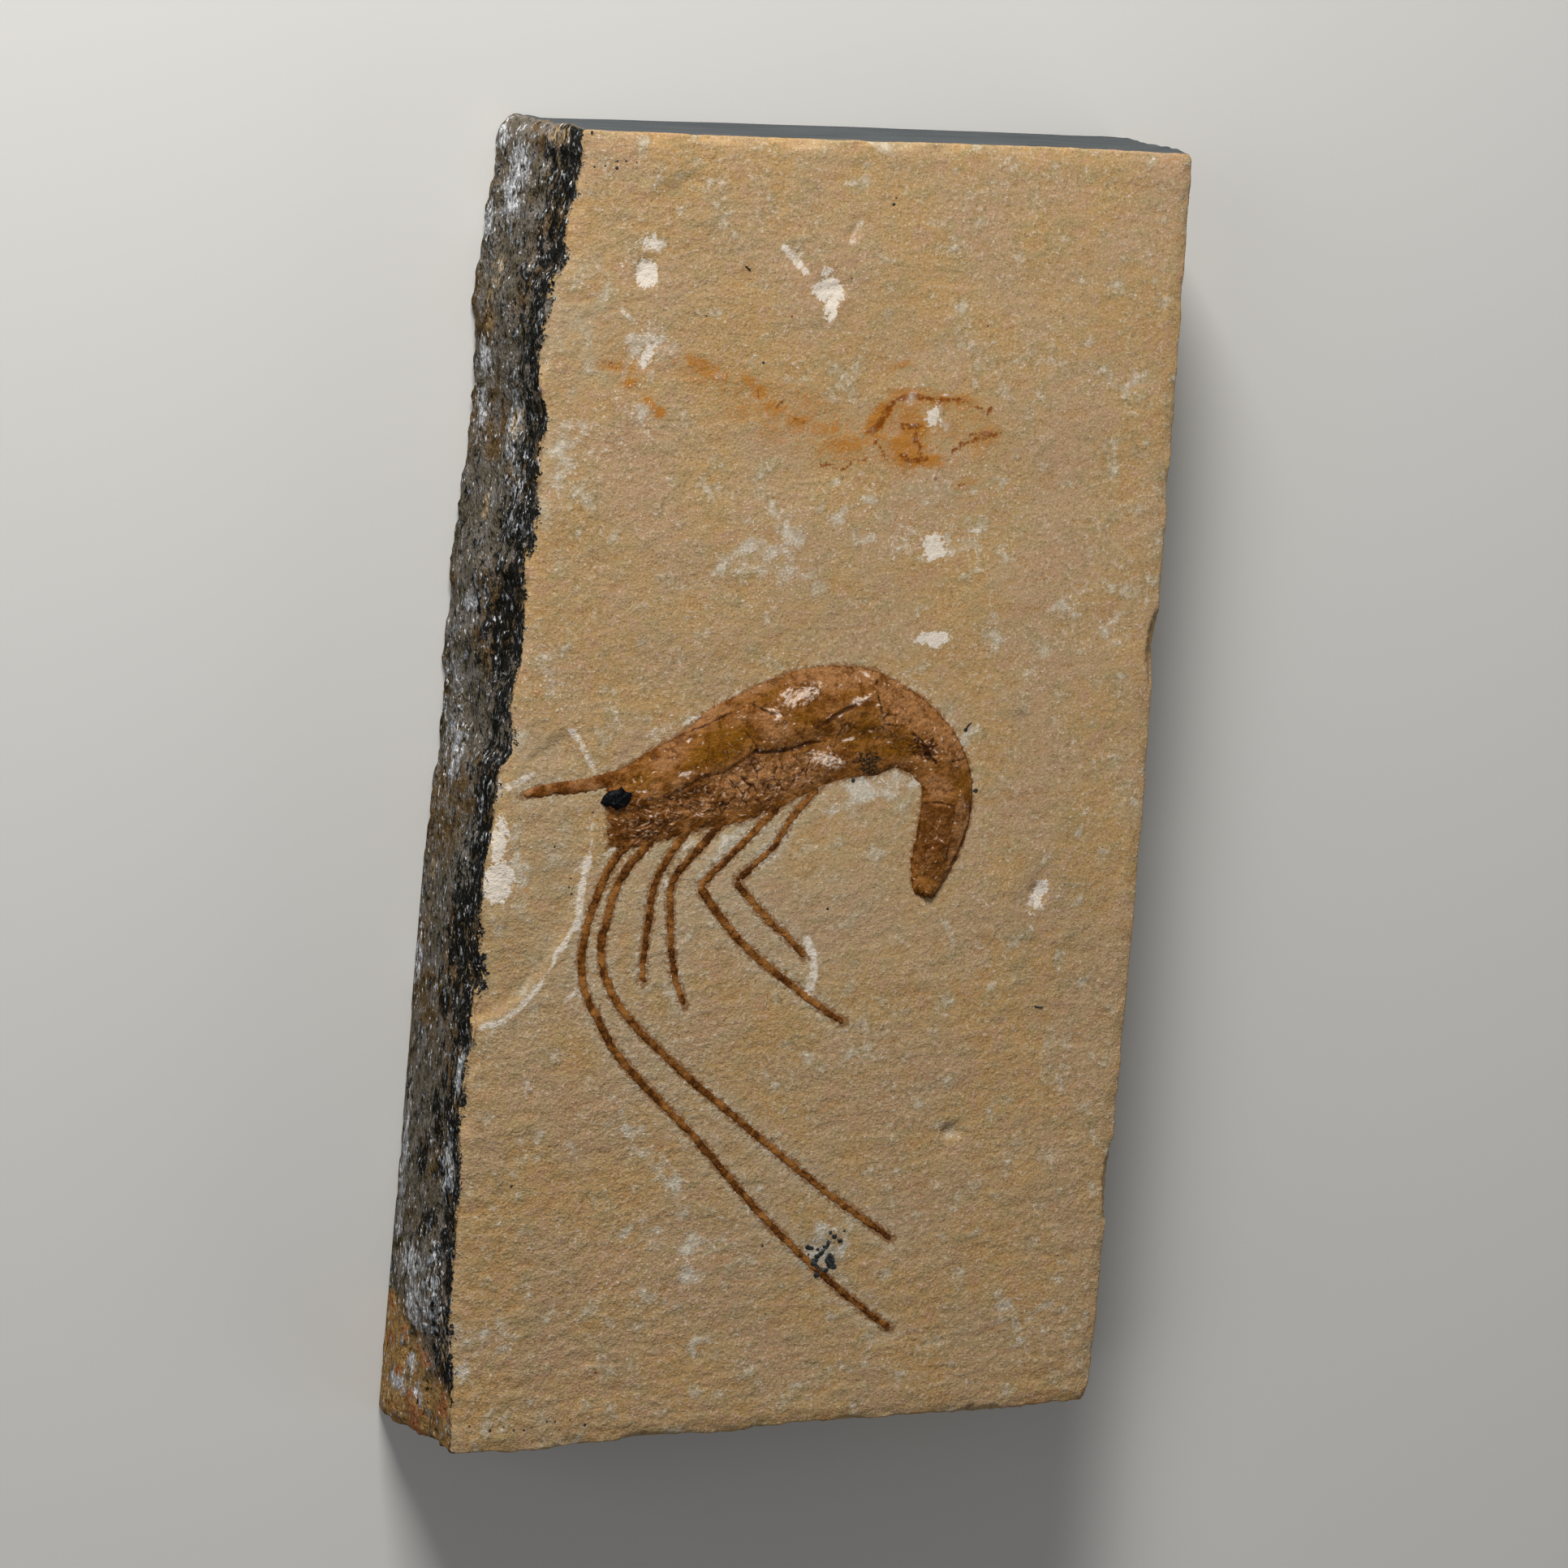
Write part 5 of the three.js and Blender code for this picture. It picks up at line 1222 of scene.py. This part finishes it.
def makeBodyMaterial():
    # Brown film, with pinkish and amber zones, dark seams and mottling, pale glossy patches partly painted as
    # reflection, and small painted highlights.
    material, tree, shader = startMaterial("bodyFilm")
    _, clouds = startClouds(tree)
    middle, small, fine = (clouds[k] for k in ("Middle", "Small", "Fine"))
    pink, amber, dark = threeOf(tree, "tones")
    pale, paintedGlint, mould = threeOf(tree, "patchesAndPaintedGlints")
    line, inside, _ = threeOf(tree, "strokes")
    colour = tint(film["brown"], film, (middle, .4, .62, 1.0, "tawny"))
    pink = times(pink, ramp(small, .3, .6, .75, 1.0))
    colour = lay(colour, film, (times(amber, .9), "amber"), (pink, "pink"))
    colour = tint(colour, film, (plus(middle, small), 1.0, .76, .68, "deep"))
    colour = lay(colour, film, (times(dark, ramp(small, .62, .4, .55, .95)), "deep"))
    line = times(line, ramp(small, .66, .4, .6, 1.0))
    colour = tint(colour, film, (line, .12, .8, .9, "seam"))
    # Painted highlights, pale patches that are partly painted reflection, then the mould.
    colour = lay(colour, film, (times(paintedGlint, .75), "paintedGlint"), (times(pale, .85), "pale"),
                 (times(mould, ramp(fine, .66, .42, .3, .95)), "mould"))
    colour = tint(colour, film, (timesPlus(less(small, .5), 1.2, inside), .38, .06, .8, "deep"))
    light = ramp(fine, .3, .7, .84, 1.16)
    colour = put("VectorMath", {0: colour, "Scale": light}, operation="SCALE").outputs[0]
    finish(shader, colour, ramp(small, .35, .65, .3, .55), bump(clouds["Height"], .2), film["bodyShine"])
    return material


shrimpBody = makePiece("shrimpBody", *makeBody())
finishPiece(shrimpBody, "fossil_shrimp", makeBodyMaterial())
print("body made")


limbs = {  # width at the root and at the tip, height, and how dark it is dyed
    "rostrum": (1.55, .85, .22, 0), "leftAntenna": (.8, .58, .15, .1), "rightAntenna": (.8, .58, .15, .1),
    "firstLeg": (.78, .56, .13, .05), "secondLeg": (.8, .56, .13, .15), "thirdThigh": (.72, .66, .13, .3),
    "thirdShin": (.84, .58, .14, 0), "fourthThigh": (.66, .56, .12, .7), "fourthShin": (.7, .6, .13, .3),
}
limbMesh = {
    "step": .07, "arch": 11, "foot": .2, "sunk": .03,
    # waves: height, lengths along and across, octaves
    "wobble": (.09, (1.6, 1), 3), "ragged": (.26, (1.1, 1), 4), "frayed": (.1, (.3, 1.25), 3),
    "sag": (.25, (2.2, 1), 1), "lumps": (.45, (.4, .4), 3),
}


def limbStrip(name, seed):
    # A low arch carried along the limb's line. The width is ragged, both ends are rounded off, and the
    # arch is z = height * sin(angle), closed by a flat sole sunk in the stone.
    line = smoothLine(fossil[name], 20)
    length = lineLength(line)
    wide, narrow, high, dye = limbs[name]
    at = np.linspace(0, length[-1], int(length[-1] / limbMesh["step"]))
    centre = pick(at, length, line)
    tangent = np.gradient(centre, axis=0)
    tangent /= np.linalg.norm(tangent, axis=1, keepdims=True)
    across = np.column_stack([-tangent[:, 1], tangent[:, 0]])
    centre = centre + across * waves((at, 0), *limbMesh["wobble"], seed)[:, None]
    ends = np.sqrt(np.clip(np.minimum(at, length[-1] - at) / (.5 * narrow), 0, 1))
    half = .5 * (wide + (narrow - wide) * at / at[-1]) * ends
    half = half * (1 + waves((at, 0), *limbMesh["ragged"], seed + 1, 5))
    angle = np.linspace(0, np.pi, limbMesh["arch"])
    frayed = waves((at[:, None], angle), *limbMesh["frayed"], seed + 2, 9)
    offset = frayed * ends[:, None] - np.cos(angle) * half[:, None]
    plan = centre[:, None] + across[:, None] * offset[..., None]
    x, y = np.moveaxis(plan, -1, 0)
    ground = splitPlane + faceHeight(x, y)
    rise = high * (.75 + waves((at, 0), *limbMesh["sag"], seed + 3, 3))[:, None] * np.sin(angle)
    rise = rise * (1 + waves((x, y), *limbMesh["lumps"], seed + 4)) * ends[:, None]
    top = np.dstack([plan, ground + rise - limbMesh["sunk"]])
    sole = np.dstack([plan[:, [-1, 0]], ground[:, [-1, 0]] - limbMesh["foot"]])
    section = np.concatenate([top, sole], axis=1)
    rows, columns = section.shape[:2]
    last = (rows - 1) * columns
    caps = [(k, k + 1, 0) for k in range(1, columns - 1)]
    caps += [(last + k + 1, last + k, last) for k in range(1, columns - 1)]
    quads = gridQuads(rows, columns, True)[:, ::-1]
    edge = np.tile([*np.abs(np.cos(angle)), 1, 1], rows)
    return section.reshape(-1, 3), quads, np.array(caps), edge, np.full(edge.size, dye)


def limbPiece(name, names, material, seed):
    # Several limbs as one piece.
    strips = [limbStrip(limb, seed + 10 * k) for k, limb in enumerate(names)]
    points, quads, caps, edges, dyes = zip(*strips)
    starts = np.cumsum([0] + [len(part) for part in points])
    quads, caps = (np.vstack([faces + start for faces, start in zip(part, starts)]) for part in (quads, caps))
    fields = {"edge": np.concatenate(edges), "dye": np.concatenate(dyes)}
    piece = makePiece(name, np.vstack(points), quads, fields, caps)
    finishPiece(piece, "fossil_shrimp", material)
    return piece


def makeLimbMaterial(name, core, light, edge):
    # A cloudy core, darker at the edges and where it is dyed, with a few light grains.
    material, tree, shader = startMaterial(name)
    _, clouds = startClouds(tree)
    middle, small, fine = (clouds[k] for k in ("Middle", "Small", "Fine"))
    rim = timesPlus(less(small, .5), 2.4, fieldOf(tree, "edge")["Fac"])
    dyed = timesPlus(fieldOf(tree, "dye")["Fac"], -.16, plus(middle, small))
    colour = tint(film[core], film, (middle, .42, .64, 1.0, light), (rim, .6, 1.3, .75, edge),
                  (dyed, 1.0, .76, .85, edge), (fine, .58, .72, .7, "limbLight"))
    finish(shader, colour, ramp(small, .3, .7, .5, .7), bump(clouds["Height"], .22), film["shine"])
    return material


limbFilm = makeLimbMaterial("limbFilm", "limb", "limbLight", "limbEdge")
legs = ["firstLeg", "secondLeg", "thirdThigh", "thirdShin", "fourthThigh", "fourthShin"]
limbPiece("shrimpLegs", legs, limbFilm, 200)
limbPiece("shrimpAntennae", ["leftAntenna", "rightAntenna"], limbFilm, 300)
limbPiece("shrimpRostrum", ["rostrum"], makeLimbMaterial("rostrumFilm", "rostrum", "pink", "deep"), 400)
print("limbs made")


eye = {
    "centre": (-20.4, -1.95), "height": .4, "foot": .3, "cells": (30, 128),
    "seat": (.28, -22.2, -20),  # the dome is raised by the first number, between these two places across
    "torn": (.07, (.2, .2), 3, 505), "bumps": (.07, (.5, .5), 3, 507),
    "outline": [(-21.95, -2.45), (-21.45, -2.8), (-21.0, -2.7), (-20.5, -3.1), (-20.0, -2.8), (-19.6, -2.7),
        (-19.05, -2.0), (-18.95, -1.3), (-19.6, -1.3), (-20.0, -1.1), (-20.2, -.85), (-20.5, -1.25),
        (-21.0, -1.3), (-21.6, -1.75)],
}


def makeEye():
    # A flat dome inside a torn outline: rings from the middle out, each a scaled copy of the outline.
    rings, count = eye["cells"]
    angle = np.linspace(0, 2 * np.pi, count, endpoint=False)
    out = np.linspace(0, 1, rings + 1)[1:, None]
    corners = np.array(eye["outline"] + eye["outline"][:1]) - eye["centre"]
    around = pick(angle / (2 * np.pi) * (len(corners) - 1), np.arange(len(corners)), corners)
    around = around * (1.02 + waves((np.cos(angle), np.sin(angle)), *eye["torn"]))[:, None]
    x, y = (middle + out * part for middle, part in zip(eye["centre"], around.T))
    dome = eye["height"] * np.sqrt(1 - out ** 2.4) + waves((x, y), *eye["bumps"]) * (1 - out ** 4)
    raised, *reach = eye["seat"]
    z = splitPlane + faceHeight(x, y) + raised * fade(x, *reach) + dome - .1 * (out > .99)
    top = np.dstack([x, y, z]).reshape(-1, 3)
    foot = splitPlane - eye["foot"]
    sole = top[-count:] * (1, 1, 0) + (0, 0, foot)
    middles = [(*eye["centre"], splitPlane + eye["height"] + .2), (*eye["centre"], foot)]
    first, last = np.arange(count), rings * count + np.arange(count)
    up = np.full(count, (rings + 1) * count)
    fans = np.hstack([(up, first, np.roll(first, -1)), (up + 1, np.roll(last, -1), last)]).T
    return np.vstack([top, sole, middles]), gridQuads(rings + 1, count, True)[:, ::-1], {}, fans


def makeEyeMaterial():
    # Black, with a few grey glints painted in as highlights.
    material, tree, shader = startMaterial("eyeFilm")
    where = millimetres(tree)
    colour = tint(film["eye"], film, (cloud(where, 1.8, 4.0, .7, .8), .62, .72, .8, "eyePaintedGlint"))
    rough = ramp(cloud(where, 1.5, 3.0, .6), .3, .7, .3, .55)
    finish(shader, colour, rough, bump(cloud(where, 1.8, 5.0, .7), .14, .8), film["shine"])
    return material


finishPiece(makePiece("shrimpEye", *makeEye()), "fossil_shrimp", makeEyeMaterial())
print("eye made")


def makeMineral(name, scale, detail, roughness, low, high, dark, light, gloss):
    # One tone clouded with a lighter one.
    material, tree, shader = startMaterial(name + "Mineral")
    spotty = ramp(cloud(millimetres(tree), scale, detail, roughness), low, high)
    fill(shader, {"Base Color": mix(spotty, dark, light), "Roughness": gloss})
    return material


# The heights are those of the rim, the inner ring, the crown and the foot.
speck = {"corners": 10, "torn": .45, "inner": .6, "heights": (-.03, .03, .04, -.12)}


def speckPiece(name, spots, colour):
    # Each speck is a tiny torn dome: a rim, a ring within it, and a point above and one below.
    n = speck["corners"]
    cx, cy, radius = np.array(spots).T[..., None]
    angle = np.linspace(0, 2 * np.pi, n, endpoint=False)
    c, s = np.cos(angle), np.sin(angle)
    number = np.arange(len(spots))[:, None]
    torn = radius * (1 + speck["torn"] * noise(c * 1.7 + cx, s * 1.7 + cy, number, 601))
    x, y = (np.hstack([middle + part * torn, middle + part * torn * speck["inner"], middle, middle])
            for middle, part in ((cx, c), (cy, s)))
    z = splitPlane + faceHeight(x, y) + np.repeat(speck["heights"], (n, n, 1, 1))
    i, j = np.arange(n), (np.arange(n) + 1) % n
    crown, foot = np.full(n, 2 * n), np.full(n, 2 * n + 1)
    one = np.hstack([(i, j, n + j), (i, n + j, n + i), (n + i, n + j, crown), (j, i, foot)]).T
    faces = (one + x.shape[1] * number[..., None]).reshape(-1, 3)
    piece = makePiece(name, np.dstack([x, y, z]).reshape(-1, 3), [], {}, faces)
    light = tuple(min(1, c * 2.2 + .01) for c in colour[:3]) + (1,)
    piece.data.materials.append(makeMineral(name, 4.0, 3.0, .6, .35, .7, colour, light, .7))
    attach(piece, "root")


speckPiece("blackSpecks", marks["specks"], tone(30, 27, 27))
speckPiece("rustSpecks", marks["specksRusty"], tone(112, 58, 34))


def growthPiece(name, lines):
    # Fine black growths on the stone, as low torn strips.
    names = [f"{name}{k}" for k in range(len(lines))]
    for part, (half, path) in zip(names, lines):
        fossil[part], limbs[part] = path, (half * 2.4, half * 1.5, .17, 0)
    material = makeMineral(name, 2.4, 2.0, .65, .48, .7, tone(14, 18, 20), tone(66, 74, 70), .6)
    piece = limbPiece(name, names, material, 700)


growthPiece("blackGrowth", marks["inkLines"])
print("specks made")


# The distance and the target are in mm, the angles in degrees, the clipping reach in metres.
view = {
    "target": (-4.331, .118, 17.5), "distance": 399.124, "turn": 22, "lift": 5, "roll": 5.1837,
    "lens": 100, "sensor": 36, "reach": (.01, 20),
}


def stand(name, data, axes, place):
    # An object whose own x, y and z point along the three axes given, at a place in metres.
    made = bpy.data.objects.new(name, data)
    made.matrix_world = Matrix([[*(axis[k] for axis in axes), place[k]] for k in range(3)] + [[0, 0, 0, 1]])
    bpy.context.scene.collection.objects.link(made)
    return made


def makeCamera():
    # It looks back at the target from a distance, turned to the left, lifted a little and rolled.
    turn, lift, roll = (math.radians(view[k]) for k in ("turn", "lift", "roll"))
    back = np.array([-math.sin(turn) * math.cos(lift), math.sin(lift), math.cos(turn) * math.cos(lift)])
    up = np.array([0.0, 1.0, 0.0]) - back[1] * back
    up /= np.linalg.norm(up)
    right = np.cross(up, back)
    right, up = right * math.cos(roll) + up * math.sin(roll), -right * math.sin(roll) + up * math.cos(roll)
    data = bpy.data.cameras.new("camera")
    data.lens, data.sensor_width = view["lens"], view["sensor"]
    data.clip_start, data.clip_end = view["reach"]
    spot = (np.array(view["target"]) + back * view["distance"]) * millimetre
    bpy.context.scene.camera = stand("camera", data, (right, up, back), spot)


def makeLight(name, place, size, power, colour):
    # A square soft light at place, in metres, turned to the middle of the slab.
    data = bpy.data.lights.new(name, "AREA")
    data.size, data.energy, data.color = size, power, colour
    away = place / np.linalg.norm(place)
    side = np.cross((0, 0, 1), away)
    side /= np.linalg.norm(side)
    stand(name, data, (side, np.cross(away, side), away), place)


def makeFloor():
    # A wide pale square, a hair below the slab.
    size = 4.0  # half its width in metres
    mesh = bpy.data.meshes.new("floor")
    corners = [(-size, -size, 0), (size, -size, 0), (size, size, 0), (-size, size, 0)]
    mesh.from_pydata(corners, [], [(0, 1, 2, 3)])
    material, _, shader = startMaterial("paleFloor")
    fill(shader, {"Base Color": tone(214, 212, 208), "Roughness": .8})
    mesh.materials.append(material)
    floor = bpy.data.objects.new("floor", mesh)
    floor.location.z = -.2 * millimetre
    bpy.context.scene.collection.objects.link(floor)


makeCamera()
makeLight("keyLight", (-.14, .36, .24), .15, 2.25, (1, .99, .97))
makeLight("fillLight", (-.75, 0, .5), .6, 1.35, (.98, .985, 1))
makeLight("farLight", (.75, -.35, .45), .7, 1.0, (1, 1, 1))
makeFloor()
world = bpy.data.worlds.new("studio")
world.use_nodes = True
fill(world.node_tree.nodes["Background"], {"Color": (.9, .92, .95, 1), "Strength": .1})
bpy.context.scene.world = world
bpy.context.scene.view_settings.view_transform = "Standard"
bpy.context.scene.view_settings.look = "None"
print("stage set")
